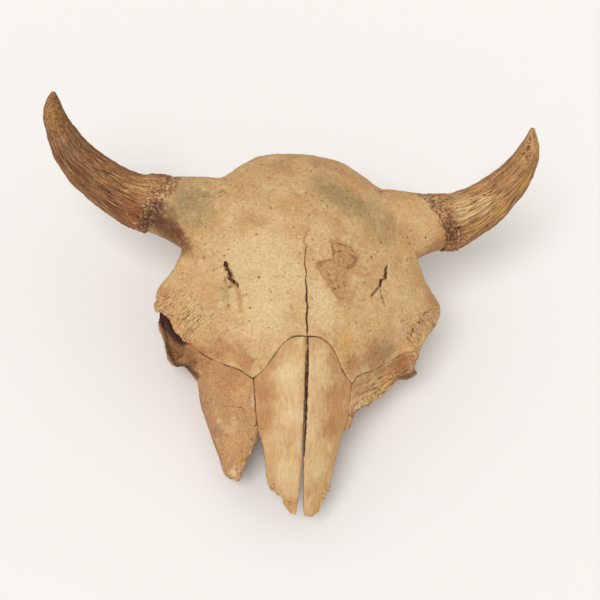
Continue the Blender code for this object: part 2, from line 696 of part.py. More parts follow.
# Where the left side of the muzzle has broken away, from the cheek in to the nasal bone
LEFT_BREAK = [
    (0.1360, -0.0535), (0.1289, -0.0586), (0.1225, -0.0578), (0.1146, -0.0592), (0.1090, -0.0650),
    (0.1036, -0.0693), (0.0985, -0.0735), (0.0945, -0.0804), (0.0870, -0.0850), (0.0800, -0.0880),
    (0.0736, -0.0945),
]
LACRIMAL_LEFT_LOWER = [(0.1750, -0.0480)] + LEFT_BREAK + [
    (0.0680, -0.0950), (0.0636, -0.0990), (0.0575, -0.1015), (0.0548, -0.1075), (0.0547, -0.1130),
    (0.0527, -0.1190), (0.0470, -0.1220), (0.0490, -0.1152), (0.0501, -0.1050), (0.0516, -0.0920),
]
MAXILLA_RIGHT = [
    (-0.0430, -0.1225), (-0.0423, -0.1280), (-0.0429, -0.1356), (-0.0463, -0.1420), (-0.0475, -0.1480),
    (-0.0505, -0.1512), (-0.0530, -0.1590), (-0.0556, -0.1640), (-0.0560, -0.1726), (-0.0580, -0.1750),
    (-0.0640, -0.1713), (-0.0702, -0.1680), (-0.1600, -0.1680), (-0.1600, -0.0140), (-0.0200, -0.0140),
    (-0.0200, -0.1100),
]
MAXILLA_LEFT = [(0.0400, -0.0900), (0.0560, -0.0980), (0.0640, -0.0960)] + LEFT_BREAK[::-1] + [
    (0.1600, -0.0400), (0.1600, -0.0140), (0.0200, -0.0140), (0.0200, -0.0800),
]
CHEEK_LEFT = LEFT_BREAK[:9] + [(0.0860, -0.0858), (0.0860, 0.0340), (0.2000, 0.0340), (0.2000, -0.0400)]
CHEEK_RIGHT = [(-0.0860, -0.0850), (-0.2000, -0.0850), (-0.2000, 0.0340), (-0.0860, 0.0340)]
CRACK = [
    (0.0010, -0.0330), (0.0009, -0.0200), (0.0013, -0.0050), (0.0005, 0.0100), (0.0009, 0.0250),
    (0.0002, 0.0400), (0.0004, 0.0550), (0.0, 0.0660),
]
CRACK_HALF_WIDTH = 0.00055


def frontal_outline(side):
    """Half of the forehead: midline crack, arch over the nose, suture out past the eye, poll."""
    nasal = NASAL_LEFT if side > 0 else NASAL_RIGHT
    arch = [(x, y + SUTURE_GAP) for x, y in nasal[1:7]]
    corner = [(nasal[7][0] + side * SUTURE_GAP, nasal[7][1] + 1.4 * SUTURE_GAP)]
    suture = [(side * x, y) for x, y in LACRIMAL_SUTURE]
    crack = []
    for i, (x, y) in enumerate(CRACK):
        narrowing = 1 - i / (len(CRACK) - 1)
        half = SUTURE_GAP / 2 + narrowing * (CRACK_HALF_WIDTH - SUTURE_GAP / 2)
        crack.append((x + side * half, y))
    poll = [(side * 0.300, -0.020), (side * 0.300, 0.250), (side * SUTURE_GAP / 2, 0.250)]
    return arch + corner + suture + poll + crack[::-1]


def lacrimal_outline(side):
    nasal = NASAL_LEFT if side > 0 else NASAL_RIGHT
    corner = [(nasal[7][0] + side * SUTURE_GAP, nasal[7][1] + SUTURE_GAP)]
    suture = [(side * x, y - SUTURE_GAP) for x, y in LACRIMAL_SUTURE]
    return corner + suture + (LACRIMAL_LEFT_LOWER if side > 0 else LACRIMAL_RIGHT_LOWER)


def side_box(side, x_low, x_high, y_low, y_high):
    """A rectangle on one side of the midline."""
    return [(side * x_low, y_low), (side * x_high, y_low), (side * x_high, y_high), (side * x_low, y_high)]


def part_bones(whole):
    """The bones of the skull, taken out of the whole one after another."""
    roof, deep = 0.060, -0.260
    nasals = (("nasal_right", NASAL_RIGHT), ("nasal_left", NASAL_LEFT))
    bones = [parted(whole, name, (outline, -0.050, roof)) for name, outline in nasals]
    for side, word in ((-1, "right"), (1, "left")):
        pedicle_space = side_box(side, PEDICLE_START, 0.200, 0.055, 0.170)
        brow = (frontal_outline(side), FRONTAL_FLOOR, roof)
        bones.append(parted(whole, "frontal_" + word, brow, (pedicle_space, PEDICLE_FLOOR, -0.030)))
        bones.append(parted(whole, "lacrimal_" + word, (lacrimal_outline(side), LACRIMAL_FLOOR, roof)))
        cheek, jaw = (CHEEK_LEFT, MAXILLA_LEFT) if side > 0 else (CHEEK_RIGHT, MAXILLA_RIGHT)
        bones.append(parted(whole, "zygomatic_" + word, (cheek, deep, roof)))
        bones.append(parted(whole, "maxilla_" + word, (jaw, deep, roof)))
        temple = side_box(side, 0.0535, 0.200, 0.000, 0.1005)
        bones.append(parted(whole, "temporal_" + word, (temple, deep, roof)))
    back = [(-0.200, 0.1008), (0.200, 0.1008), (0.200, 0.300), (-0.200, 0.300)]
    bones.append(parted(whole, "occipital", (back, deep, roof)))
    middle = [(-0.100, -0.048), (0.100, -0.048), (0.100, 0.120), (-0.100, 0.120)]
    bones.append(parted(whole, "sphenoid", (middle, deep, roof)))
    bpy.data.objects.remove(whole)
    return bones


# Horn cores, each along its own middle line: centre and radius
HORN_RIGHT = [
    ((-0.1660, 0.1088, -0.056), 0.0295), ((-0.1860, 0.1157, -0.054), 0.0262),
    ((-0.2149, 0.1317, -0.048), 0.0233), ((-0.2350, 0.1470, -0.039), 0.0202),
    ((-0.2534, 0.1719, -0.024), 0.0140), ((-0.2589, 0.1825, -0.016), 0.0114),
    ((-0.2606, 0.1957, -0.006), 0.0063),
]
HORN_LEFT = [
    ((0.1655, 0.1094, -0.055), 0.0306), ((0.1841, 0.1180, -0.052), 0.0275),
    ((0.2062, 0.1321, -0.046), 0.0245), ((0.2160, 0.1414, -0.041), 0.0222),
    ((0.2276, 0.1529, -0.034), 0.0198), ((0.2339, 0.1619, -0.029), 0.0175),
    ((0.2428, 0.1862, -0.015), 0.0106),
]
HORN_RIGHT_TIP = Vector((-0.2603, 0.2017, -0.002))
HORN_LEFT_TIP = Vector((0.2422, 0.2042, -0.004))
HORN_SEGMENTS = 32
HORN_RINGS = 29


def horn_core(side):
    """Bony core of a horn: a knobbly burr, then a furrowed curving cone."""
    centre = to_side(BURR_CENTRE, side)
    stations = HORN_LEFT if side > 0 else HORN_RIGHT
    tip = HORN_LEFT_TIP if side > 0 else HORN_RIGHT_TIP
    inside = to_side((0.024, 0.0016, 0), side)
    start = [(centre - inside, BURR_RADIUS), (centre, BURR_RADIUS)]
    stations = start + [(Vector(p), r) for p, r in stations] + [(tip, 0.0022)]
    keys = [0.0]
    for (a, _), (b, _) in zip(stations, stations[1:]):
        keys.append(keys[-1] + (b - a).length)
    curve = [through([(k, s[0][i]) for k, s in zip(keys, stations)]) for i in range(3)]
    thick = through([(k, s[1]) for k, s in zip(keys, stations)])
    rings = []
    for k in np.linspace(0.0, keys[-1], HORN_RINGS):
        here = Vector([float(f(k)) for f in curve])
        ahead = Vector([float(f(k + 0.005) - f(k - 0.005)) for f in curve]).normalized()
        level = ahead.cross(Vector((0, 0, 1))).normalized() * side
        rise = level.cross(ahead).normalized() * side
        rings.append(horn_ring(here, level, rise, float(thick(k)), side))
    core = loft("horn_core_" + ("left" if side > 0 else "right"), rings)
    return largest_body(cut(core, [burr_block(side, -0.050, SUTURE_GAP)]))


def horn_ring(centre, level, rise, radius, side):
    """One ring of a horn core, furrowed lengthwise, with a knobbly swelling beside the burr plane."""
    turn = np.linspace(0, 2 * math.pi, HORN_SEGMENTS, endpoint=False)
    round_about = np.outer(np.cos(turn), np.array(level)) + np.outer(np.sin(turn) * 0.94, np.array(rise))
    burr, axis = np.array(to_side(BURR_CENTRE, side)), np.array(to_side(BURR_AXIS, side))
    from_burr = (np.array(centre) + round_about * radius - burr) @ axis
    furrow = 0.016 * np.cos(9 * turn + side) * np.clip(from_burr / 0.03, 0, 1)
    knobs = (0.075 + 0.035 * np.cos(7 * turn + 2 * side)) * np.exp(-((from_burr - 0.005) / 0.006) ** 2)
    return np.array(centre) + round_about * (radius * (1 + furrow + knobs))[:, None]


def material(name, colour, roughness):
    look = bpy.data.materials.new(name)
    look.use_nodes = True
    shader = look.node_tree.nodes["Principled BSDF"]
    shader.inputs["Base Color"].default_value = (*colour, 1.0)
    shader.inputs["Roughness"].default_value = roughness
    look.diffuse_color = (*colour, 1.0)
    return look


def coloured(obj):
    """Gives a bone its own bone material and smooth shading."""
    name = obj.name
    colour = BONE
    if name.startswith("horn"):
        colour = HORN_CORE
    elif name.startswith(("lacrimal", "maxilla", "zygomatic")):
        colour = FACE_BONE
    elif name.startswith(("occipital", "temporal", "sphenoid")):
        colour = BASE_BONE
    obj.data.materials.clear()
    obj.data.materials.append(material("bone_" + name, colour, 0.72))
    obj.data.shade_smooth()
    obj.data.set_sharp_from_angle(angle=math.radians(40))


def resting_place(bones):
    """Transform from the face frame to the floor: pitched, centred, lowest point at zero."""
    pitch = Matrix.Rotation(REST_PITCH, 4, "X")
    points = np.array([pitch @ v.co for bone in bones for v in bone.data.vertices])
    low, high = points.min(axis=0), points.max(axis=0)
    shift = Vector((-(low[0] + high[0]) / 2, -(low[1] + high[1]) / 2, -low[2]))
    return Matrix.Translation(shift) @ pitch


def main():
    for obj in list(bpy.data.objects):
        bpy.data.objects.remove(obj)
    whole = shaped_whole()
    hollows = [nasal_cavity(), foramen_magnum()]
    for side in (1, -1):
        hollows += [eye_socket(side), ear_opening(side), brow_slot(side)]
    cut(whole, hollows)
    thinned(whole, CRANIUM_TRIANGLES)
    cut(whole, [floor_block(), burr_block(1, 0, 0.040), burr_block(-1, 0, 0.040)])
    cut(whole, [jaw_break(1), jaw_break(-1)])
    bones = part_bones(whole) + [horn_core(1), horn_core(-1)]
    place = resting_place(bones)
    skull = bpy.data.objects.new("skull", None)
    bpy.context.scene.collection.objects.link(skull)
    skull.matrix_world = place
    for bone in bones:
        bone.parent = skull
        coloured(bone)


main()
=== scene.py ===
# %% [markdown]
# # A weathered bison skull
# This lesson dresses a measured set of solid bones as an old, sun-dried skull on a pale cloth.
# The solids come in as a fixed frame: sixteen bones, each where it belongs, in metres, with the skull
# resting on its broken jaw edges and on the two small prongs behind the ears. Everything below is
# made around them, and nothing moves them.

# %% Load the bones
import json
import math

import bmesh
import bpy
import numpy as np
from mathutils import Matrix, Vector
from mathutils.bvhtree import BVHTree

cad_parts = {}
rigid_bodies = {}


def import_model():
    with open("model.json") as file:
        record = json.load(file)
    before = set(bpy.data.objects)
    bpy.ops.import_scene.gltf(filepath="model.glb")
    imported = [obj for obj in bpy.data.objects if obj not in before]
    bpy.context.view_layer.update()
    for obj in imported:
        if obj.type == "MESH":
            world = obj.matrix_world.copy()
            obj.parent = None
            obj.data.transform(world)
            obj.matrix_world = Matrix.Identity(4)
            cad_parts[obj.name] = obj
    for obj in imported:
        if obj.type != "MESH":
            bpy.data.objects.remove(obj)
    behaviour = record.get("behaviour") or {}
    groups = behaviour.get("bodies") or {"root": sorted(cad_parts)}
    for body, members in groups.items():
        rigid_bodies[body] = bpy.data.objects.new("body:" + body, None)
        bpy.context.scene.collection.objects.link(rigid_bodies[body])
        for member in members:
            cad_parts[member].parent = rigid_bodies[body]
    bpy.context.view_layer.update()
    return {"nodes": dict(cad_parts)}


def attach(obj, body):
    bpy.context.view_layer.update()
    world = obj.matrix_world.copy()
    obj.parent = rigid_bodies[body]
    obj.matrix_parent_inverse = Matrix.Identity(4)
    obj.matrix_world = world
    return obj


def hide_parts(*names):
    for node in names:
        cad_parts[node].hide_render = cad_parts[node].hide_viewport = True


for leftover in list(bpy.data.objects):
    bpy.data.objects.remove(leftover)
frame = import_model()
print("bones:", sorted(frame["nodes"]))

# %% [markdown]
# ## Two frames of reference
# A forehead is easiest to describe square on: x to the animal's left, y from the nose to the crown
# and z straight out of the brow. The resting skull is that frame pitched back about 22 degrees,
# because the broken upper jaws reach less far down than the prongs at the back. One matrix carries
# every measured place from the first frame to the second.

# %% From the forehead's own frame to the resting skull
REST_PITCH = math.atan2(0.067, 0.166)
BROW_ORIGIN = Vector((0.007988, -0.011247, 0.145517))
resting = Matrix.Translation(BROW_ORIGIN) @ Matrix.Rotation(REST_PITCH, 4, "X")
turned = np.array(resting.to_3x3())


def square_on(points):
    """Points of the resting skull as seen square on to the forehead."""
    return (points - np.array(BROW_ORIGIN)) @ turned


print("pitch in degrees:", round(math.degrees(REST_PITCH), 1))

# %% [markdown]
# ## The camera first
# The picture looks down on the forehead from a little over a metre, slightly from the nose and from
# the skull's right. With the camera set up first, marks can be placed in the picture: a ray through a
# pixel of the picture meets the bone at the spot where the mark belongs, in three dimensions. At the
# aim point one pixel is one millimetre.

# %% Camera
PICTURE = 600
SENSOR_MM = 36.0
DISTANCE = 1.300
PIXEL = 0.001
AIM = Vector((-0.00704, 0.00282, -0.00066))
BACKWARD = Vector((-0.17, -0.20, 0.96493523))
RIGHTWARD = Vector((0.98407728, 0.0170998, 0.17691664))
UPWARD = Vector((-0.05188352, 0.97964667, 0.19390849))
eye_point = AIM + BACKWARD * DISTANCE
camera = bpy.data.objects.new("camera", bpy.data.cameras.new("camera"))
bpy.context.scene.collection.objects.link(camera)
camera.matrix_world = (
    resting @ Matrix.Translation(eye_point) @ Matrix((RIGHTWARD, UPWARD, BACKWARD)).transposed().to_4x4()
)
camera.data.sensor_width = SENSOR_MM
camera.data.lens = DISTANCE / PIXEL * SENSOR_MM / PICTURE
camera.data.clip_start = 0.01
bpy.context.scene.camera = camera
print("camera stands at", [round(v, 3) for v in camera.matrix_world.translation])

# %% [markdown]
# ## From faceted solids to bone
# The solids are light: a few thousand flat triangles in all. Bone is one smooth skin. So each bone
# is copied and welded, its hard edges are creased, a subdivision rounds the rest, and a voxel
# remesh gives an even skin of small quads that can take real relief. Growing the bones by a hair
# first closes the assembly gap to the fine line of a suture.


# %% One fine skin from a few solids
HARD_EDGE = math.radians(38)


def linked(name, mesh):
    """A new object in the scene with this mesh."""
    made = bpy.data.objects.new(name, mesh)
    bpy.context.scene.collection.objects.link(made)
    return made


def welded_copy(name, nodes):
    """The welded copies of some bones in one new object, with their hard edges creased."""
    both = bmesh.new()
    for node in nodes:
        one = bmesh.new()
        one.from_mesh(frame["nodes"][node].data)
        bmesh.ops.remove_doubles(one, verts=one.verts, dist=0.00002)
        bmesh.ops.recalc_face_normals(one, faces=one.faces)
        part = bpy.data.meshes.new(node)
        one.to_mesh(part)
        one.free()
        both.from_mesh(part)
        bpy.data.meshes.remove(part)
    crease = both.edges.layers.float.new("crease_edge")
    for edge in both.edges:
        if len(edge.link_faces) == 2 and edge.calc_face_angle(0) > HARD_EDGE:
            edge[crease] = 1.0
    mesh = bpy.data.meshes.new(name)
    both.to_mesh(mesh)
    both.free()
    return linked(name, mesh)


def settled(piece):
    """Turns what the modifiers show into the piece's own mesh."""
    view = bpy.context.evaluated_depsgraph_get()
    mesh = bpy.data.meshes.new_from_object(piece.evaluated_get(view))
    piece.modifiers.clear()
    piece.data = mesh
    return piece


def modified(piece, kind, **settings):
    """Adds a modifier with some settings to a piece."""
    step = piece.modifiers.new(kind.lower(), kind)
    for title, setting in settings.items():
        setattr(step, title, setting)


def skin(name, nodes, voxel, grow, shrink):
    """An even, rounded skin over some bones."""
    piece = welded_copy(name, nodes)
    modified(piece, "SUBSURF", levels=2, render_levels=2)
    modified(piece, "DISPLACE", strength=grow, mid_level=0)
    modified(piece, "REMESH", mode="VOXEL", voxel_size=voxel)
    modified(piece, "SMOOTH", factor=0.5, iterations=8)
    if shrink:
        modified(piece, "DISPLACE", strength=-shrink, mid_level=0)
    return settled(piece)


# %% [markdown]
# ## A ray through the picture
# To place a mark, a ray goes through a pixel of the picture and meets the bone. It must not fall
# into a crack, so it is cast at a wrap of the whole skull: the same skin, grown until its slits
# close and then shrunk back. The answer is a point on the real surface, so a mark placed this way
# still sits on its bone when the skull is seen from any other side.

# %% Where a pixel meets the bone
wrap = skin("wrap", sorted(frame["nodes"]), 0.0025, 0.0032, 0.0030)
wrap_faces = [list(p.vertices) for p in wrap.data.polygons]
wrap_tree = BVHTree.FromPolygons([v.co for v in wrap.data.vertices], wrap_faces)
bpy.data.objects.remove(wrap)
eye_world = resting @ eye_point


def on_bone(px, py):
    """The point of the bone under one pixel of the 600 by 600 picture, or the nearest one beside it."""
    across, down = (px - PICTURE / 2) * PIXEL / DISTANCE, (py - PICTURE / 2) * PIXEL / DISTANCE
    ray = resting.to_3x3() @ (RIGHTWARD * across - UPWARD * down - BACKWARD)
    hit = wrap_tree.ray_cast(eye_world, ray)[0]
    if hit:
        return np.array(hit)
    beside = eye_world + ray * DISTANCE
    for _ in range(4):
        edge = wrap_tree.find_nearest(beside)[0]
        beside = eye_world + ray * ((edge - eye_world).dot(ray) / ray.length_squared)
    return np.array(edge)


def line_on_bone(*pixels):
    """A line of straight steps over the bone, through the points under some pixels."""
    return np.array([on_bone(px, py) for px, py in pixels])


def in_picture(points):
    """The pixel at which each point shows."""
    seen = (points - np.array(eye_world)) @ turned
    scale = DISTANCE / PIXEL / -(seen @ np.array(BACKWARD))
    pixels = np.stack([seen @ np.array(RIGHTWARD), -(seen @ np.array(UPWARD))], 1) * scale[:, None]
    return PICTURE / 2 + pixels


print("nose end of the forehead, in mm:", np.round(1000 * on_bone(307, 334)))
print("and back to its pixel:", np.round(in_picture(on_bone(307, 334)[None]), 1))

# %% [markdown]
# The two frontal bones share one skin, because their old seam has closed from the crown down to
# the middle of the brow. Every other bone keeps its own. The fine pieces get the smallest voxels.

# %% Every bone's skin
BOTH_SIDES = ("_right", "_left")
VOXELS = [
    ("horn_core", 0.0009, BOTH_SIDES), ("nasal", 0.0009, BOTH_SIDES), ("lacrimal", 0.0010, BOTH_SIDES),
    ("maxilla", 0.0010, BOTH_SIDES), ("zygomatic", 0.0010, BOTH_SIDES), ("occipital", 0.0012, ("",)),
    ("sphenoid", 0.0012, ("",)), ("temporal", 0.0012, BOTH_SIDES),
]
FACE_BONES = ("lacrimal", "maxilla", "zygomatic")
BONES = {"forehead": (["frontal_left", "frontal_right"], 0.0016)}
for bone, voxel, sides in VOXELS:
    for side in sides:
        BONES[f"{bone}_skin{side}"] = ([bone + side], voxel)
GROWTH = {"forehead": (0.0007, 0.0005), "nasal": (0.0003, 0.0), "horn": (0.0002, 0.0)}
pieces = {}
for name, (nodes, voxel) in BONES.items():
    pieces[name] = skin(name, nodes, voxel, *GROWTH.get(name.split("_")[0], (0.0005, 0.0)))
    print(name, len(pieces[name].data.polygons), "faces")

# %% [markdown]
# ## Thin out what nobody sees
# Where two bones meet, each has a flat wall that no light reaches. A decimate modifier that works
# on those walls alone keeps the triangles for the surface that shows. A vertex belongs to a wall if
# its normal points straight at another bone less than a millimetre away.


# %% Hidden walls
WALL_GAP = 0.0009
WALL_FACING = 0.85
WALL_THINNED = 0.93


def places(piece):
    """The points of a piece and its normals, as two arrays."""
    count = len(piece.data.vertices)
    points, normals = np.empty(3 * count, np.float32), np.empty(3 * count, np.float32)
    piece.data.vertices.foreach_get("co", points)
    piece.data.vertex_normals.foreach_get("vector", normals)
    return points.reshape(-1, 3).astype(float), normals.reshape(-1, 3).astype(float)


def triangle_count(piece):
    """How many triangles the faces of a piece come to."""
    return sum(len(p.vertices) - 2 for p in piece.data.polygons)


def put(piece, points):
    """Moves the points of a piece."""
    piece.data.vertices.foreach_set("co", points.astype(np.float32).ravel())
    piece.data.update()


def keep(piece, title, kind, values):
    """Keeps one number, vector or colour for each vertex as an attribute of the piece."""
    field = {"FLOAT": "value", "FLOAT_VECTOR": "vector", "FLOAT_COLOR": "color"}[kind]
    kept = piece.data.attributes.get(title) or piece.data.attributes.new(title, kind, "POINT")
    kept.data.foreach_set(field, values.astype(np.float32).ravel())


def neighbours_tree(nodes):
    """The triangles of all bones apart from some, for finding what is near."""
    spots, sides = [], []
    for node, bone in frame["nodes"].items():
        if node not in nodes:
            first = len(spots)
            spots += [v.co.copy() for v in bone.data.vertices]
            sides += [[first + i for i in p.vertices] for p in bone.data.polygons]
    return BVHTree.FromPolygons(spots, sides)


def to_other_bones(points, tree, reach):
    """How far each point is from the nearest other bone, up to a reach, and which way."""
    away, way = np.full(len(points), reach), np.zeros((len(points), 3))
    for i, point in enumerate(points):
        spot, _, _, distance = tree.find_nearest(point, reach)
        if spot is not None:
            away[i], way[i] = distance, (np.array(spot) - point) / max(distance, 1e-9)
    return away, way


def thinned(piece, nodes):
    """The piece with coarse triangles on its hidden walls."""
    points, normals = places(piece)
    away, way = to_other_bones(points, neighbours_tree(nodes), 0.0010)
    wall = (away < WALL_GAP) & ((normals * way).sum(1) > WALL_FACING)
    if wall.mean() < 0.02:
        return piece
    group = piece.vertex_groups.new(name="wall")
    group.add([int(i) for i in np.nonzero(wall)[0]], 1.0, "REPLACE")
    share = 1 - WALL_THINNED * wall.mean()
    modified(piece, "DECIMATE", ratio=share, vertex_group=group.name, vertex_group_factor=1000)
    settled(piece)
    piece.vertex_groups.clear()
    return piece


for name, (nodes, _) in BONES.items():
    thinned(pieces[name], nodes)
    print(name, triangle_count(pieces[name]), "triangles")

# %% [markdown]
# ## Noise, lines and blots
# Weathered bone has no pattern that repeats, so most of the relief and the staining starts from
# smooth lattice noise. Real features are added to it: a line over the bone for each crack or
# groove, and a blot for each stain. These few helpers turn them into numbers, one per vertex.


# %% Helpers for relief and stain
def ramp(low, high, value):
    """0 below low, 1 above high, and an easy curve between."""
    t = np.clip((value - low) / (high - low), 0, 1)
    return t * t * (3 - 2 * t)


def noise(points, size, seed=0):
    """Smooth noise of about -1 to 1, with lumps about one size across."""
    rng = np.random.default_rng(1000 + seed)
    order = rng.permutation(256)
    slopes = rng.normal(size=(256, 3))
    slopes /= np.linalg.norm(slopes, axis=1)[:, None]
    spot = points / size + 50
    cell = np.floor(spot).astype(int)
    part = spot - cell
    ease = part**3 * (part * (part * 6 - 15) + 10)
    total = np.zeros(len(points))
    for corner in np.ndindex(2, 2, 2):
        at = (cell + corner) & 255
        slope = slopes[order[(order[(order[at[:, 0]] + at[:, 1]) & 255] + at[:, 2]) & 255]]
        share = np.where(corner, ease, 1 - ease).prod(1)
        total += share * (slope * (part - corner)).sum(1)
    return 1.7 * total


def rough(points, size, octaves, seed):
    """Noise with finer and finer detail on top."""
    return sum(0.55**k * noise(points, size * 0.48**k, seed + 7 * k) for k in range(octaves))


def wobble(points, size, seed):
    """A small random direction for each point, the same for neighbours."""
    return np.stack([noise(points, size, seed + k) for k in range(3)], 1)


def step_lengths(line):
    """The length of each straight step of a line."""
    return np.linalg.norm(np.diff(line, axis=0), axis=1)


def evened(line, steps, rounds):
    """A line in even steps with its corners rounded off, and how far along it each step is."""
    keys = np.concatenate([[0], np.cumsum(step_lengths(line))])
    along = np.linspace(0, keys[-1], steps)
    finely = np.stack([np.interp(along, keys, line[:, i]) for i in range(3)], 1)
    for _ in range(rounds):
        finely[1:-1] = (finely[:-2] + 2 * finely[1:-1] + finely[2:]) / 4
    return finely, along


def faded_ends(along, fade):
    """1 along a line, falling to 0 over a share of it at either end."""
    return ramp(0, fade, along) * ramp(0, fade, 1 - along)


def off_line(points, line):
    """How far each point is from a line over the bone, and how far along it, from 0 to 1."""
    away, along = np.full(len(points), 9.0), np.zeros(len(points))
    lengths = step_lengths(line)
    for k, (start, end) in enumerate(zip(line, line[1:])):
        span = end - start
        t = np.clip((points - start) @ span / max(span @ span, 1e-12), 0, 1)
        distance = np.linalg.norm(points - start - t[:, None] * span, axis=1)
        near = distance < away
        away[near] = distance[near]
        along[near] = (lengths[:k].sum() + t[near] * lengths[k]) / lengths.sum()
    return away, along


def groove(points, line, width, depth, fade, waver, seed=0):
    """The depth of a wavering groove along a line, fading out at its ends."""
    away, along = off_line(points + waver * wobble(points, 0.0035, 300 + seed), line)
    ends = faded_ends(along, fade) if fade else 1
    return depth * ends * (1 - ramp(0.25 * width, 0.62 * width, away))


def blot(points, spot, radius, ragged, seed):
    """How much of a stain with a ragged edge covers each point."""
    away = np.linalg.norm(points - spot, axis=1) / radius
    return 1 - ramp(0.25, 1.40, away + ragged * rough(points, radius * 0.45, 4, seed))


def band(points, line, width, ragged, seed):
    """How much of a long stain with a ragged edge covers each point."""
    away = off_line(points, line)[0] / (0.5 * width)
    return 1 - ramp(0.55, 1.3, away + ragged * rough(points, width * 0.4, 3, seed))


lumps = noise(np.random.default_rng(1).uniform(0, 1, (2000, 3)), 0.05)
print("noise runs from", round(lumps.min(), 2), "to", round(lumps.max(), 2))

# %% [markdown]
# ## Finer mesh where it counts
# A crack one millimetre wide can't be cut into quads a millimetre wide. So the faces along each
# crack, pit and broken rim are divided once or twice more, and the rest stays as it is.


# %% Finer faces near lines and spots
def finer(piece, lines, reach, times=1):
    """Divides the faces of a piece that lie near some lines."""
    for step in range(times):
        points, _ = places(piece)
        away = np.full(len(points), 9.0)
        for line in lines:
            low, high = line.min(0) - 2 * reach, line.max(0) + 2 * reach
            inside = ((points > low) & (points < high)).all(1)
            if inside.any():
                away[inside] = np.minimum(away[inside], off_line(points[inside], line)[0])
        close = away < reach / (1 + 0.5 * step)
        shape = bmesh.new()
        shape.from_mesh(piece.data)
        shape.verts.ensure_lookup_table()
        edges = [e for e in shape.edges if close[e.verts[0].index] and close[e.verts[1].index]]
        bmesh.ops.subdivide_edges(shape, edges=edges, cuts=1, use_grid_fill=True)
        bmesh.ops.triangulate(shape, faces=[f for f in shape.faces if len(f.verts) > 4])
        shape.to_mesh(piece.data)
        shape.free()
    return piece


def spot_line(px, py):
    """A line of no length, for a single spot."""
    return np.array([on_bone(px, py), on_bone(px, py) + 1e-5])


# %% [markdown]
# ## Lines read off the skull
# Each of these is a crack, a groove or an edge, followed in the picture from one end to the
# other. The numbers are pixels; the ray through each finds the bone.

# %% Cracks, slots and rims
MIDLINE_CRACK = line_on_bone(
    (305.8, 246), (305.3, 255), (304.9, 265), (306.4, 271), (305.8, 280), (307, 290), (306.5, 300),
    (307.7, 307), (306.6, 318), (307.6, 330), (307.2, 335),
)
WIDE_CRACK = np.vstack([MIDLINE_CRACK[4:-1], on_bone(307.2, 337)])
MIDLINE_HAIRLINE = line_on_bone((306.7, 247), (303.5, 241), (306, 235), (309, 229))
HAIRLINE_SIDE = line_on_bone((306, 236), (300, 239), (296, 238))
SLOT_RIGHT = line_on_bone(
    (226, 264.5), (229.3, 270.7), (231.4, 275.7), (231.6, 279.5), (236, 283), (238.6, 287)
)
SLOT_MOUTH = line_on_bone((228, 269.5), (230, 274), (231, 279))
SLOT_SLOPE = line_on_bone((226.5, 274), (228.5, 281), (233, 288))
SLOT_RIGHT_TAIL = line_on_bone((238.6, 286), (239.6, 296), (240, 310))
TROUGH_RIGHT = line_on_bone((225, 274), (225, 284), (225.5, 297), (227, 312))
SCRATCH_RIGHT = line_on_bone((210, 271.4), (217, 268), (225.7, 263.8))
SLOT_LEFT = line_on_bone((386.9, 265), (386, 272), (385.3, 278.8))
SLOT_LEFT_FOOT = line_on_bone((385.3, 278.6), (380.6, 280.8), (380, 287.5))
SLOT_LEFT_TAIL = line_on_bone((380.2, 284), (376.5, 290), (371, 296.5))
BRANCH_LEFT = line_on_bone((380, 287), (381.5, 296), (385, 305.5))
SCAR_STEP = line_on_bone((331.2, 240), (334, 250), (333.4, 259), (325, 260), (317, 262.5), (315.8, 268))
SCAR_ARM = line_on_bone((315.8, 267), (321.7, 276.7), (331, 291), (342, 306))
SCAR_TOP = line_on_bone(
    (331.5, 241), (343, 243.6), (351.7, 246.7), (358.4, 256.5), (353.5, 265), (349.5, 267)
)
SCAR_VEINS = line_on_bone((334, 253), (341, 251), (347, 256), (352, 254), (356, 257))
SCAR_THREADS = [
    line_on_bone((335, 259), (343, 261), (350, 266)), line_on_bone((344, 245), (349, 255), (351, 264)),
    line_on_bone((336, 247), (342, 253), (349, 258)), line_on_bone((334, 262), (336, 272), (336, 282)),
    line_on_bone((350, 250), (354, 255), (352, 262)), line_on_bone((338, 262), (345, 258), (354, 259)),
    line_on_bone((340, 268), (346, 264), (351, 262)), line_on_bone((342, 284), (341, 276), (338, 270)),
]
RIM_RIGHT = line_on_bone((155, 294), (158, 302), (162, 309), (173, 321.5), (182, 330), (195, 339))
RIM_LEFT = line_on_bone((439, 300), (439, 313), (437, 321), (431, 331), (424, 341), (410, 350))
print("midline crack in mm:", round(1000 * step_lengths(MIDLINE_CRACK).sum()))

# %% [markdown]
# ## Holes for blood vessels
# A bison's forehead is peppered with small holes, where vessels left the bone to feed the skin.
# The larger ones are placed one by one: pixel, radius and depth in millimetres. The crowd of tiny
# ones comes later, from geometry nodes.

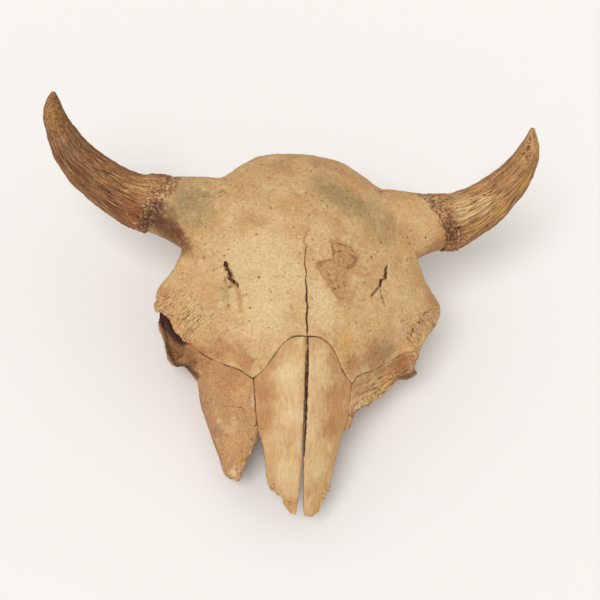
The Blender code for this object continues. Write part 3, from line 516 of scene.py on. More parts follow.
# %% The larger vessel holes
HOLES_BROW = [
    (226.1, 264.8, 2.7, 3.6), (223.6, 255.4, 1.2, 2.2), (217.1, 251.3, 1.2, 1.3), (204.3, 244.3, 1.1, 1.8),
    (233.6, 240, 1.3, 0.6), (256, 204, 1.0, 0.8), (259, 276.9, 1.9, 1.3), (269.3, 289.3, 1.1, 0.6),
    (246.4, 294.3, 1.3, 0.8), (250, 307.9, 1.4, 0.9), (249.3, 321.1, 1.1, 1.1), (268.3, 327.6, 1.1, 0.7),
    (242.1, 330, 1.0, 0.8), (210.7, 316.4, 1.2, 1.1), (195, 328.6, 0.9, 0.8), (276, 244.7, 0.9, 0.5),
    (231, 227, 1.0, 0.6), (206, 250, 0.8, 0.7), (338.8, 286.7, 0.9, 1.2), (372, 257.5, 2.0, 0.7),
    (381.2, 242, 1.3, 1.2), (379.7, 211.3, 1.2, 1.3), (392, 256.7, 1.0, 1.5), (402.8, 237, 1.2, 1.0),
    (426.2, 237.8, 1.3, 1.5), (426.2, 248, 0.9, 1.0), (356.7, 322.8, 1.5, 0.7), (369.7, 323, 1.2, 0.7),
    (425, 198.8, 1.4, 1.8), (359, 300, 0.8, 0.6), (412, 262, 0.8, 0.6), (344, 330, 0.8, 0.5),
]
brow_holes = [(spot_line(px, py), radius / 1000, depth / 1000) for px, py, radius, depth in HOLES_BROW]


def holes(points, list_of_holes):
    """The depth of round holes with slightly wavering rims."""
    total = np.zeros(len(points))
    for k, (line, radius, depth) in enumerate(list_of_holes):
        near = np.linalg.norm(points - line[0], axis=1) < 3 * radius
        if not near.any():
            continue
        around = points[near] + 0.3 * radius * wobble(points[near], 1.6 * radius, k)
        away = np.linalg.norm(around - line[0], axis=1)
        total[near] = np.maximum(total[near], depth * (1 - ramp(0.25 * radius, 1.15 * radius, away)))
    return total


print(len(brow_holes), "holes placed one by one")

# %% Divide the faces where the forehead has fine marks
forehead = pieces["forehead"]
finer(forehead, [MIDLINE_CRACK, SLOT_RIGHT, SLOT_LEFT, SLOT_LEFT_FOOT], 0.0034, times=2)
hairlines = [MIDLINE_HAIRLINE, HAIRLINE_SIDE, SCRATCH_RIGHT, SLOT_RIGHT_TAIL, SLOT_LEFT_TAIL, BRANCH_LEFT]
finer(forehead, hairlines, 0.0022)
finer(forehead, [SCAR_STEP, SCAR_ARM, SCAR_TOP, SCAR_VEINS], 0.0024)
finer(forehead, [RIM_RIGHT, RIM_LEFT], 0.0130)
finer(forehead, [line for line, radius, depth in brow_holes], 0.0026)
print("forehead:", triangle_count(forehead), "triangles")

# %% [markdown]
# ## One relief for all the bones
# Weathering ignores the seams between bones, so the first relief is one field for the whole skull:
# each point is pushed by the noise at its place, and neighbours on either side of a suture move
# together. That also makes straight cuts and sutures waver as real ones do. Broken edges get a
# coarser, stronger push.

# %% Weathering
SCAR_OUTER = line_on_bone((356, 266), (353, 284), (350, 300), (342, 307))
BROKEN_RIMS = [
    line_on_bone((165, 322), (166, 336), (169, 348), (173, 360)),
    line_on_bone((176, 363), (187, 365), (194, 369), (199, 376)),
    line_on_bone((417, 352), (418, 361), (415, 370), (409, 375)),
    line_on_bone((408, 376), (397, 376), (388, 384), (380, 393), (371, 402), (360, 406), (353, 415)),
    line_on_bone((257, 428), (257.5, 433), (252, 447), (244, 462), (240, 474), (234, 480)),
    line_on_bone((226, 471), (230, 477), (236, 479)),
    line_on_bone((270, 486), (277, 492), (285, 510)),
    line_on_bone((332, 488), (327, 494), (322, 508)),
]


def broken(points):
    """How near each point is to a broken rim: 1 on it, 0 a centimetre away."""
    away = np.full(len(points), 9.0)
    for line in BROKEN_RIMS:
        away = np.minimum(away, off_line(points, line)[0])
    return 1 - ramp(0.002, 0.010, away)


def nudged(points, pixel, to_pixel, reach):
    """The points near one pixel, carried along to another as seen in the picture."""
    across, down = (to_pixel[0] - pixel[0]) * PIXEL, (to_pixel[1] - pixel[1]) * PIXEL
    step = turned @ np.array(RIGHTWARD * across - UPWARD * down)
    away = np.linalg.norm(points - on_bone(*pixel), axis=1)
    return points + np.outer(1 - ramp(0.3 * reach, reach, away), step)


def weathered(piece):
    """Pushes the points of a piece by the weathering at their places."""
    points, normals = places(piece)
    push = 0.00030 * wobble(points, 0.0060, 11) + 0.00016 * wobble(points, 0.0026, 14)
    push += (broken(points) * 0.0012)[:, None] * (wobble(points, 0.0040, 17) + wobble(points, 0.0020, 18))
    depth = 0.00055 * rough(points, 0.020, 3, 21) + 0.00014 * rough(points, 0.0035, 2, 24)
    depth -= 0.00020 * np.abs(noise(points, 0.0048, 27))
    put(piece, points + push + normals * depth[:, None])


for name, piece in pieces.items():
    if name.startswith(FACE_BONES):
        finer(piece, BROKEN_RIMS, 0.0040)
    weathered(piece)
socket_rim = pieces["zygomatic_skin_right"]
put(socket_rim, nudged(places(socket_rim)[0], (167, 329), (160, 319), 0.020))
print("all bones weathered")

# %% [markdown]
# ## The forehead
# On a bison the brow is broad and nearly flat. Its marks, from the middle outwards: the open lower
# half of the midline suture; a scar on the left side, where the outer layer of bone is gone; on
# each side the slit of the supraorbital foramen, with a trough towards the nose where a vein lay;
# and fine ridges that fan out towards the rims of the eye sockets.


# %% Relief of the forehead
def comb(points, rim, spacing, reach, seed):
    """Fine ridges that run inwards from a rim, square to it."""
    away, along = off_line(points, rim)
    length = step_lengths(rim).sum()
    laid = np.stack([along * length / spacing, away / (6 * spacing), np.zeros(len(points))], 1)
    return faded_ends(along, 0.08) * (1 - ramp(0.35 * reach, reach, away)) * noise(laid, 1.0, seed)


# Each row: the line, its width and depth in mm, the share that fades at either end, the waver in mm
# and the seed. Cuts take the deepest of all, and dents are added to them.
CUTS = [
    (MIDLINE_CRACK, 1.2, 1.6, 0.04, 0.3, 1), (WIDE_CRACK, 2.2, 4.0, 0.15, 0.3, 1),
    (MIDLINE_HAIRLINE, 1.3, 0.3, 0.1, 0.4, 2), (HAIRLINE_SIDE, 1.2, 0.3, 0.1, 0.4, 3),
    (SLOT_RIGHT, 3.0, 3.4, 0.10, 0.5, 4), (SLOT_MOUTH, 4.8, 4.2, 0.20, 0.5, 4),
    (SLOT_LEFT, 4.0, 4.2, 0.20, 0.4, 5), (SLOT_LEFT_FOOT, 3.0, 2.8, 0.08, 0.4, 5),
]
DENTS = [
    (SLOT_SLOPE, 10.0, 1.2, 0.2, 0.8, 6), (SLOT_RIGHT_TAIL, 4.6, 0.7, 0.2, 0.8, 6),
    (TROUGH_RIGHT, 8.5, 0.6, 0.25, 1.0, 7), (SCRATCH_RIGHT, 1.6, 0.5, 0.2, 0.3, 8),
    (SLOT_LEFT_TAIL, 2.6, 1.2, 0.2, 0.6, 9), (BRANCH_LEFT, 1.6, 0.6, 0.2, 0.6, 10),
]


def forehead_depth(points):
    """How deep each point of the forehead lies under the smooth brow."""
    depth = np.zeros(len(points))
    for line, width, deep, fade, waver, seed in CUTS:
        cut = groove(points, line, width / 1000, deep / 1000, fade, waver / 1000, seed)
        depth = np.maximum(depth, cut)
    for line, width, deep, fade, waver, seed in DENTS:
        depth += groove(points, line, width / 1000, deep / 1000, fade, waver / 1000, seed)
    return np.maximum(depth, holes(points, brow_holes))


SCAR_OUTLINE = np.array([
    (331.5, 241), (343, 243.6), (351.7, 246.7), (358.4, 256.5), (355, 268), (352, 284), (349, 300),
    (342, 306), (331, 291), (321.7, 276.7), (315.8, 268), (317, 262.5), (325, 260), (333.4, 259),
])


def inside(points, outline):
    """Whether each point lies inside an outline, as seen square on to the forehead."""
    edge = square_on(np.array([on_bone(px, py) for px, py in outline]))[:, :2]
    flat = square_on(points)[:, :2]
    within = np.zeros(len(points), bool)
    for (ax, ay), (bx, by) in zip(edge, np.roll(edge, -1, axis=0)):
        crosses = (ay > flat[:, 1]) != (by > flat[:, 1])
        within ^= crosses & (flat[:, 0] < (bx - ax) * (flat[:, 1] - ay) / (by - ay + 1e-12) + ax)
    return within & (square_on(points)[:, 2] > -0.02)


def scar_share(points):
    """1 where the outer bone is gone, 0 elsewhere; sharp at the upper and inner edges, soft outwards."""
    shaken = points + 0.0006 * wobble(points, 0.004, 31)
    share = inside(shaken, SCAR_OUTLINE).astype(float)
    edge = np.minimum(off_line(shaken, SCAR_STEP)[0], off_line(shaken, SCAR_TOP)[0])
    sharp = np.minimum(edge, off_line(shaken, SCAR_ARM)[0])
    outer = off_line(points, SCAR_OUTER)[0]
    return share * ramp(0, 0.0009, sharp) * ramp(0.001, 0.009, outer)


def carve_forehead(piece):
    """Adds the forehead's own marks to its skin."""
    points, normals = places(piece)
    flat = square_on(points)
    share = scar_share(points) * ramp(0, 0.006, off_line(points, SCAR_ARM)[0])
    depth = forehead_depth(points) + share * (0.0009 + 0.0005 * rough(points, 0.008, 2, 33))
    depth += groove(points, SCAR_VEINS, 0.0022, 0.0005, 0.1, 0.0009, 12)
    depth += groove(points, SCAR_STEP, 0.0022, 0.0006, 0.1, 0.0004, 13)
    depth += 0.0005 * comb(points, RIM_RIGHT, 0.0012, 0.030, 41)
    depth += 0.0005 * comb(points, RIM_LEFT, 0.0012, 0.042, 43)
    crown = ramp(0.13, 0.17, flat[:, 1])
    depth += 0.0003 * crown * rough(points, 0.010, 2, 45)
    points = points - normals * depth[:, None]
    for pixel, to_pixel in (((164, 320), (166, 316)), ((177, 336), (180, 332))):
        points = nudged(points, pixel, to_pixel, 0.015)
    put(piece, points)


carve_forehead(forehead)
print("forehead carved")

# %% The slit between the nose bones
NOSE_SLIT = line_on_bone((307.6, 336), (308, 350), (307.6, 372), (306.6, 400), (305.6, 430), (304, 456))
for side in ("right", "left"):
    bone = finer(pieces[f"nasal_skin_{side}"], [NOSE_SLIT], 0.0030)
    points, normals = places(bone)
    sunk = groove(points, NOSE_SLIT, 0.0052, 0.0009, 0.08, 0.0003, 91)
    put(bone, points - normals * sunk[:, None])
print("slit between the nose bones, in mm:", round(1000 * np.linalg.norm(NOSE_SLIT[0] - NOSE_SLIT[-1])))

# %% [markdown]
# ## Horn cores
# What is left of each horn is its core: a curved cone of bone. The horn's blood supply ran along it
# in furrows, strongest on the outer and lower sides, and the inner side of the curve is smoother.
# To furrow a curved cone lengthwise, each point needs a place along the horn and a turn round it.
# Noise laid on that cylinder and stretched along it makes furrows that run together at the tip.

# %% A place along the horn and a turn round it
BURR_CENTRE = np.array([0.149, 0.108, -0.055])
BURR_AXIS = np.array([0.916, 0.401, 0.0]) / np.linalg.norm([0.916, 0.401, 0.0])
HORN_LINES = {
    -1: [
        (-0.127, 0.0984, -0.055), (-0.1490, 0.1080, -0.055), (-0.1660, 0.1088, -0.056),
        (-0.1860, 0.1157, -0.054), (-0.2149, 0.1317, -0.048), (-0.2350, 0.1470, -0.039),
        (-0.2534, 0.1719, -0.024), (-0.2589, 0.1825, -0.016), (-0.2606, 0.1957, -0.006),
        (-0.2603, 0.2017, -0.002),
    ],
    1: [
        (0.127, 0.0984, -0.055), (0.1490, 0.1080, -0.055), (0.1655, 0.1094, -0.055),
        (0.1841, 0.1180, -0.052), (0.2062, 0.1321, -0.046), (0.2160, 0.1414, -0.041),
        (0.2276, 0.1529, -0.034), (0.2339, 0.1619, -0.029), (0.2428, 0.1862, -0.015),
        (0.2422, 0.2042, -0.004),
    ],
}


def side_of(name):
    """1 for a piece of the skull's left side and -1 for one of its right."""
    return 1 if name.endswith("left") else -1


def round_the_horn(points, side):
    """How far along its horn each point is, in metres, and the direction from the middle line."""
    line, along = evened(np.array(HORN_LINES[side]), 90, 12)
    flat = square_on(points)
    nearest = np.array([np.argmin(((line - p) ** 2).sum(1)) for p in flat])
    ahead = np.gradient(line, axis=0)
    ahead /= np.linalg.norm(ahead, axis=1)[:, None]
    out = flat - line[nearest]
    out -= (out * ahead[nearest]).sum(1)[:, None] * ahead[nearest]
    out /= np.linalg.norm(out, axis=1)[:, None] + 1e-9
    return along[nearest] + ((flat - line[nearest]) * ahead[nearest]).sum(1), out, ahead[nearest]


def off_burr(points, side):
    """How far beyond the burr each point lies, along the horn's own direction."""
    return (square_on(points) - BURR_CENTRE * (side, 1, 1)) @ (BURR_AXIS * (side, 1, 1))


def far_out(points, side):
    """Whether each point lies as far out to one side as the foot of a horn."""
    return square_on(points)[:, 0] * side > 0.1


def on_cylinder(along, out, ahead, strands, length):
    """Places for noise that is stretched along the horn and closes up round it."""
    level = np.cross(ahead, (0, 0, 1))
    level /= np.linalg.norm(level, axis=1)[:, None]
    rise = np.cross(level, ahead)
    turn = np.arctan2((out * rise).sum(1), (out * level).sum(1))
    return np.stack([strands * np.cos(turn), strands * np.sin(turn), along / length], 1)


def inner_side(out):
    """1 on the inner side of the horn's curve, which is the smoother one, and 0 elsewhere."""
    return ramp(0.15, 0.85, out[:, 1])


def streaks(place, out, smoother):
    """How streaky a horn core is: hardly at its burr and tip, and less on the inner side."""
    return ramp(0.14, 0.34, place) * ramp(0.90, 0.66, place) * (1 - smoother * inner_side(out))


# %% Relief of a horn core
TIP_HOLES_LEFT = [
    (line_on_bone((534.6, 133.5), (535.4, 137.5)), 0.0034, 0.0042),
    (line_on_bone((530.2, 137), (529.8, 140.5)), 0.0016, 0.0020),
    (line_on_bone((528.2, 147), (527.3, 149.2)), 0.0040, 0.0042),
    (line_on_bone((524.3, 153), (523.9, 154.2)), 0.0018, 0.0020),
    (line_on_bone((527.2, 156), (526.6, 158)), 0.0018, 0.0016),
]


def carve_horn(piece, side):
    """Furrows, fibres, a knobbly burr and the holes near the tip."""
    points, normals = places(piece)
    along, out, ahead = round_the_horn(points, side)
    beyond = off_burr(points, side)
    smooth_side = inner_side(out)
    wide = noise(on_cylinder(along, out, ahead, 5.0, 0.060), 1, 51 + side)
    fine = noise(on_cylinder(along, out, ahead, 11.0, 0.026), 1, 54 + side)
    thread = noise(on_cylinder(along, out, ahead, 19.0, 0.011), 1, 57 + side)
    length = along.max()
    strength = (1 - 0.75 * smooth_side) * ramp(0.010, 0.045, beyond)
    strength = strength * ramp(0.97 * length, 0.72 * length, along)
    depth = strength * (0.0006 * wide + 0.0011 * np.abs(fine) + 0.0003 * thread)
    slits = ramp(0.42, 0.75, noise(on_cylinder(along, out, ahead, 13.0, 0.008), 1, 60 + side))
    depth += 0.0009 * strength * slits * ramp(0.11, 0.05, along * 0.5)
    pitted = ramp(0.75, 1.0, along / length)
    depth += 0.0007 * pitted * np.abs(noise(points, 0.0024, 63))
    burr = (1 - ramp(0.004, 0.024, beyond)) * (1 - 0.6 * smooth_side)
    knobs = noise(points, 0.0040, 66 + side)
    lump = burr * (0.0012 * np.maximum(knobs, -0.3) + 0.0006 * noise(points, 0.0020, 69))
    near = (1 - ramp(0.0, 0.0065, beyond)) * (1 - 0.5 * smooth_side)
    radial = out @ turned.T
    inward = -(BURR_AXIS * (side, 1, 1)) @ turned.T
    edge = near * (0.0022 + 0.0016 * noise(points, 0.0055, 72 + side))
    if side > 0:
        for line, width, hole in TIP_HOLES_LEFT:
            depth = np.maximum(depth, groove(points, line, width, hole, 0, 0.0002))
    moved = points + normals * (lump - depth)[:, None] + inward * edge[:, None]
    collar = (1 - ramp(0.006, 0.020, beyond)) * (0.0006 + 0.0016 * ramp(0.0, 0.6, out[:, 1]))
    put(piece, moved + radial * (near * 0.0008 * noise(points, 0.007, 75) - collar)[:, None])


finer(pieces["horn_core_skin_left"], [line for line, width, depth in TIP_HOLES_LEFT], 0.0030)
for name in ("horn_core_skin_right", "horn_core_skin_left"):
    carve_horn(pieces[name], side_of(name))
    print(name, "furrowed")

# %% [markdown]
# On the forehead's side of the burr the knobs fade out over a centimetre. The last step before the
# burr is a little hollow, so the burr stands over it, as an old horn's does.


# %% The forehead's side of the burrs
def carve_pedicles(piece):
    """Knobs and a shallow hollow where the forehead meets the horn cores."""
    points, normals = places(piece)
    lift = np.zeros(len(points))
    for side in (-1, 1):
        beyond = off_burr(points, side)
        here = far_out(points, side) & (beyond > -0.03)
        near = ramp(-0.009, -0.001, beyond) * here
        lift += near * (0.0007 * noise(points, 0.0040, 81) + 0.0004 * noise(points, 0.0024, 84))
        lift -= 0.0006 * ramp(-0.008, -0.002, beyond) * here
    put(piece, points + normals * lift[:, None])


carve_pedicles(forehead)

# %% [markdown]
# ## The back of the head
# The neck's muscles and its great elastic band pull at the plate above the neck joint. They leave a
# crest down its middle, a hollow on either side of it, and a raised, rough line along its upper rim.

# %% Relief of the back
NECK_MIDDLE = 0.008
NECK_TOP = 0.150
NECK_JOINT = 0.060


def carve_back(piece):
    """The crest, the two hollows and the raised upper line of the plate over the neck joint."""
    points, normals = places(piece)
    aside = np.abs(points[:, 0] - NECK_MIDDLE + 0.002 * noise(points, 0.020, 86))
    height = (points[:, 2] - NECK_JOINT) / (NECK_TOP - NECK_JOINT)
    facing = ramp(0.45, 0.85, normals[:, 1]) * ramp(0.02, 0.20, height)
    crest = 0.0030 * ramp(0.010, 0.001, aside) * ramp(1.0, 0.7, height)
    hollow = 0.0026 * ramp(0.006, 0.022, aside) * ramp(0.052, 0.030, aside) * ramp(0.90, 0.55, height)
    rim = 0.0018 * ramp(0.62, 0.78, height) * ramp(0.98, 0.84, height)
    rim = rim * (0.6 + 0.5 * noise(points, 0.010, 87))
    strands = np.abs(noise(points * (1, 1, 0.35), 0.0050, 88)) - 0.3
    scarred = 0.0007 * strands * ramp(0.004, 0.020, aside) * (0.5 + 0.5 * noise(points, 0.022, 89))
    lift = facing * (crest - hollow + rim + scarred)
    put(piece, points + normals * lift[:, None])


carve_back(pieces["occipital_skin"])

# %% [markdown]
# ## Pock marks and pearls with geometry nodes
# What repeats is left to geometry nodes: tiny vessel holes all over, and the pearls of the burrs.
# Points are strewn over the skin where an attribute asks for them. Each vertex then looks for its
# nearest point and is pushed in, or out, by an amount that falls to nothing at that point's own
# radius. The same tree makes both, because a pearl is a hole with its depth below zero.


# %% The tree
def wired(tree, kind, *feeds, **settings):
    """A new node with its settings made and its sockets fed by links or plain values."""
    made = tree.nodes.new(kind)
    for title, setting in settings.items():
        setattr(made, title, setting)
    for socket, feed in feeds:
        if isinstance(feed, bpy.types.NodeSocket):
            tree.links.new(feed, made.inputs[socket])
        else:
            made.inputs[socket].default_value = feed
    return made


def multiplied(tree, first, second):
    """Two values multiplied."""
    return wired(tree, "ShaderNodeMath", (0, first), (1, second), operation="MULTIPLY").outputs[0]


POCK_INPUTS = {
    "Marks per square metre": "Float", "Smallest radius": "Float", "Largest radius": "Float",
    "Depth": "Float", "Seed": "Int", "Finish": "Material",
}


def pock_tree():
    """A node group that presses round marks of random size into a skin."""
    tree = bpy.data.node_groups.new("pock_marks", "GeometryNodeTree")
    for title, way, kind in (
        ("Skin", "INPUT", "Geometry"), *((title, "INPUT", kind) for title, kind in POCK_INPUTS.items()),
        ("Skin", "OUTPUT", "Geometry"),
    ):
        tree.interface.new_socket(title, in_out=way, socket_type="NodeSocket" + kind)
    given = tree.nodes.new("NodeGroupInput").outputs
    wanted = wired(tree, "GeometryNodeInputNamedAttribute", ("Name", "pocked")).outputs["Attribute"]
    density = multiplied(tree, given["Marks per square metre"], wanted)
    strew = wired(
        tree, "GeometryNodeDistributePointsOnFaces",
        ("Mesh", given["Skin"]), ("Density", density), ("Seed", given["Seed"]),
    ).outputs["Points"]
    here = tree.nodes.new("GeometryNodeInputPosition").outputs[0]
    nearest = wired(tree, "GeometryNodeSampleNearest", ("Geometry", strew)).outputs["Index"]
    mark = wired(
        tree, "GeometryNodeSampleIndex",
        ("Geometry", strew), ("Value", here), ("Index", nearest), data_type="FLOAT_VECTOR",
    ).outputs[0]
    away = wired(tree, "ShaderNodeVectorMath", (0, here), (1, mark), operation="DISTANCE").outputs["Value"]
    size = wired(tree, "FunctionNodeRandomValue", ("ID", nearest), ("Seed", given["Seed"]), data_type="FLOAT")
    floats = [s for s in size.inputs if s.type == "VALUE" and s.enabled]
    tree.links.new(given["Smallest radius"], floats[0])
    tree.links.new(given["Largest radius"], floats[1])
    radius = [s for s in size.outputs if s.enabled][0]
    fall = wired(
        tree, "ShaderNodeMapRange", ("Value", away), ("From Min", 0), ("From Max", radius), ("To Min", 1),
        ("To Max", 0), interpolation_type="SMOOTHSTEP",
    ).outputs[0]
    inward = multiplied(tree, multiplied(tree, fall, given["Depth"]), -1)
    normal = tree.nodes.new("GeometryNodeInputNormal").outputs[0]
    offset = wired(tree, "ShaderNodeVectorMath", (0, normal), ("Scale", inward), operation="SCALE").outputs[0]
    shift = wired(tree, "GeometryNodeSetPosition", ("Geometry", given["Skin"]), ("Offset", offset))
    real = wired(tree, "GeometryNodeRealizeInstances", (0, shift.outputs[0]))
    dress = wired(
        tree, "GeometryNodeSetMaterial", ("Geometry", real.outputs[0]), ("Material", given["Finish"])
    )
    wired(tree, "NodeGroupOutput", (0, dress.outputs[0]))
    return tree


pocks = pock_tree()
print("pock tree has", len(pocks.nodes), "nodes")


# %% Strewing marks over a piece
def strewn(piece, wanted, per_metre, smallest, largest, depth, seed, finish):
    """Presses marks into a piece where the wanted share is above zero."""
    keep(piece, "pocked", "FLOAT", wanted)
    step = piece.modifiers.new("pocks", "NODES")
    step.node_group = pocks
    values = dict(zip(POCK_INPUTS, (per_metre, smallest, largest, depth, seed, finish)))
    for socket in pocks.interface.items_tree:
        if socket.in_out == "INPUT" and socket.name in values:
            step[socket.identifier] = values[socket.name]
    return settled(piece)


# %% [markdown]
# ## The finish of old bone
# Bone that has lain outdoors is dry and chalky, with a faint sheen where hands have worn it. Its
# colour is worked out vertex by vertex further down and kept in an attribute; the material adds
# what is finer than the mesh: specks, pores and a hair-fine bump. On the horn cores and nose bones
# the specks are drawn out along the grain, for which those pieces carry a second attribute.


# %% A finish for bone
def noise_node(tree, place, scale, detail=3.0):
    """A noise texture on some places."""
    feeds = (("Scale", scale), ("Detail", detail), ("Vector", place))
    return wired(tree, "ShaderNodeTexNoise", *feeds).outputs["Fac"]


def ranged(tree, value, low, high, to_low, to_high):
    """A value moved from one range to another."""
    feeds = (("From Min", low), ("From Max", high), ("To Min", to_low), ("To Max", to_high))
    return wired(tree, "ShaderNodeMapRange", ("Value", value), *feeds).outputs["Result"]


def tinted(tree, share, dark, pale):
    """A colour between two tints, by a value."""
    feeds = ((0, share), (6, (*dark, 1)), (7, (*pale, 1)))
    return wired(tree, "ShaderNodeMix", *feeds, data_type="RGBA").outputs[2]


def kept_value(tree, title):
    """The node that reads one of the piece's own attributes."""
    return wired(tree, "ShaderNodeAttribute", attribute_name=title)


def bone_finish(name, grained, speck, bump):
    """Dry bone: painted colour, warm dark specks, pores, and a roughness that follows both."""
    made = bpy.data.materials.new(name)
    made.use_nodes = True
    tree = made.node_tree
    shader = tree.nodes["Principled BSDF"]
    shader.inputs["Specular IOR Level"].default_value = 0.35
    place = tree.nodes.new("ShaderNodeTexCoord").outputs["Object"]
    grain = kept_value(tree, "grain").outputs["Vector"]
    lined = kept_value(tree, "lined").outputs["Fac"]
    fine = noise_node(tree, grain if grained else place, 1.0 if grained else 430.0, 5.0)
    broad = noise_node(tree, place, 240.0)
    strands = noise_node(tree, grain, 1.0, 2.5)
    pores = wired(tree, "ShaderNodeTexVoronoi", ("Scale", 620.0), ("Vector", place)).outputs["Distance"]
    slits = multiplied(tree, ranged(tree, strands, 0.37, 0.46, 1, 0), lined)
    fibres = multiplied(tree, ranged(tree, strands, 0.54, 0.68, 0, 1), lined)
    dots = ranged(tree, pores, 0.06, 0.30, 0.80, 1.0)
    dark = [1 - share * speck for share in (1.0, 1.45, 1.9)]
    pale = [1 + share * speck for share in (0.55, 0.62, 0.62)]
    colour = kept_value(tree, "paint").outputs["Color"]
    for factor in (
        tinted(tree, ranged(tree, fine, 0.33, 0.67, 0, 1), dark, pale),
        tinted(tree, ranged(tree, broad, 0.33, 0.67, 0, 1), (0.96, 0.94, 0.91), (1.03, 1.035, 1.04)),
        dots,
        tinted(tree, slits, (1, 1, 1), (0.40, 0.31, 0.26)),
        tinted(tree, fibres, (1, 1, 1), (1.32, 1.34, 1.34)),
    ):
        times = wired(tree, "ShaderNodeVectorMath", (0, colour), (1, factor), operation="MULTIPLY")
        colour = times.outputs[0]
    tree.links.new(colour, shader.inputs["Base Color"])
    tree.links.new(ranged(tree, broad, 0.3, 0.7, 0.62, 0.88), shader.inputs["Roughness"])
    grains = multiplied(tree, fine, dots)
    height = wired(tree, "ShaderNodeMath", (0, grains), (1, slits), operation="SUBTRACT")
    feeds = (("Strength", bump), ("Distance", 0.0006), ("Height", height.outputs[0]))
    relief = wired(tree, "ShaderNodeBump", *feeds)
    tree.links.new(relief.outputs["Normal"], shader.inputs["Normal"])
    return made


FINISHES = {
    "brow": bone_finish("dry_brow_bone", False, 0.14, 0.60),
    "horn": bone_finish("furrowed_horn_core", True, 0.26, 0.6),
    "nose": bone_finish("grained_nose_bone", True, 0.08, 0.25),
    "face": bone_finish("fibrous_face_bone", False, 0.15, 0.45),
    "base": bone_finish("porous_base_bone", False, 0.14, 0.45),
}


def finish_of(name):
    """The finish that a piece wears."""
    if name == "forehead":
        return FINISHES["brow"]
    if name.startswith("horn"):
        return FINISHES["horn"]
    if name.startswith("nasal"):
        return FINISHES["nose"]
    return FINISHES["face" if name.startswith(FACE_BONES) else "base"]


print(sorted(FINISHES))

# %% The grain of horn cores and nose bones
def set_grain(piece, places_along, lined):
    """Keeps a vector that runs slowly along the grain and fast across it, and how much the grain shows."""
    keep(piece, "grain", "FLOAT_VECTOR", places_along)
    keep(piece, "lined", "FLOAT", np.clip(lined, 0, 1))


def fan_grain(points):
    """Grain square to the rims of the eye sockets, and how much it shows: most near a rim."""
    best, laid = np.zeros(len(points)), square_on(points) * (700, 110, 700)
    for rim, reach in ((RIM_RIGHT, 0.046), (RIM_LEFT, 0.062)):
        line, _ = evened(rim, 48, 20)
        away, along = off_line(points, line)
        length = step_lengths(line).sum()
        share = faded_ends(along, 0.06) * (1 - ramp(0.4 * reach, reach, away))
        chosen = share > best
        fan = np.stack([along * length / 0.0012, away / 0.0075, np.zeros(len(points))], 1)
        laid[chosen], best[chosen] = fan[chosen], share[chosen]
    return laid, best * ramp(-0.9, 0.1, noise(points, 0.011, 261))


FIBROUS_FACE = line_on_bone((398, 374), (384, 384), (370, 393), (356, 404))
FIBROUS_TURN = np.array(Matrix.Rotation(math.radians(-58), 3, "Z"))
horn_places = {}
for name, piece in pieces.items():
    points, _ = places(piece)
    if name.startswith("horn"):
        along, out, ahead = round_the_horn(points, side_of(name))
        horn_places[name] = along, out
        place = along / along.max()
        streaky = streaks(place, out, 0.75)
        broken_up = ramp(-0.85, 0.15, noise(points, 0.012, 263))
        set_grain(piece, on_cylinder(along, out, ahead, 26.0, 0.019), (0.12 + 0.88 * streaky) * broken_up)
    elif name.startswith("nasal"):
        set_grain(piece, square_on(points) * (500, 60, 500), 0.06 + 0.10 * noise(points, 0.02, 264))
    elif name == "forehead":
        set_grain(piece, *fan_grain(points))
    else:
        fibrous = 0.62 * (1 - ramp(0.008, 0.018, off_line(points, FIBROUS_FACE)[0]))
        set_grain(piece, square_on(points) @ FIBROUS_TURN * (560, 60, 60), 0.12 + fibrous)
print("grain set")

# %% [markdown]
# ## Strewing the marks
# The forehead has a few hundred tiny vessel holes, most of them near the slits, the rims and the
# horns. The burrs have pearls of two to five millimetres, with pits between them. The underside
# and the back are full of small openings and muscle marks.

# %% Tiny holes, pearls and pits
for name, piece in pieces.items():
    points, _ = places(piece)
    flat = square_on(points)
    worn = 0.5 + 0.5 * noise(points, 0.030, 91)
    finish = finish_of(name)
    if name == "forehead":
        burrs = sum(
            ramp(-0.011, -0.002, off_burr(points, side)) * far_out(points, side) for side in (-1, 1)
        )
        speckled = ramp(0.06, 0.14, np.abs(flat[:, 0])) * ramp(-0.02, 0.05, flat[:, 1])
        crowded = ramp(0.1, 0.6, noise(points, 0.016, 93))
        unscarred = 1 - 0.85 * scar_share(points)
        peppered = (0.1 + 0.3 * worn + speckled * crowded) * unscarred
        strewn(piece, peppered, 4000, 0.0007, 0.0016, 0.00045, 3, finish)
        strewn(piece, burrs, 9000, 0.0011, 0.0022, -0.0006, 5, finish)
        strewn(piece, burrs, 9000, 0.0009, 0.0017, 0.0007, 6, finish)
    elif name.startswith("horn"):
        along, out = horn_places[name]
        beyond = off_burr(points, side_of(name))
        burr = (1 - ramp(0.006, 0.030, beyond)) * (1 - 0.7 * inner_side(out))
        strewn(piece, burr, 26000, 0.0010, 0.0024, -0.0009, 7, finish)
        strewn(piece, burr, 16000, 0.0008, 0.0017, 0.0009, 8, finish)
        tip = ramp(0.70, 0.90, along / along.max())
        strewn(piece, 0.25 + 0.5 * worn + 2.0 * tip, 16000, 0.0006, 0.0014, 0.0006, 9, finish)
    elif name.startswith("nasal"):
        strewn(piece, worn, 3500, 0.0005, 0.0010, 0.00035, 10, finish)
    else:
        per_metre = 8000 if finish is FINISHES["face"] else 11000
        whole = 1 - 0.9 * broken(points)
        strewn(piece, (0.2 + 0.8 * worn) * whole, per_metre, 0.0006, 0.0014, 0.0006, 11, finish)
    print(name, "strewn")

# %% [markdown]
# ## Colour, worked out vertex by vertex
# The skull was never one colour: pale cream on the middle of the brow where the sun bleached it,
# tan and orange around that, reddish brown on the thin bones of the face, and dark brown where
# earth stayed in the burrs. Each colour is given as it looks in daylight, and turned into the share
# of light that bone of that colour gives back.

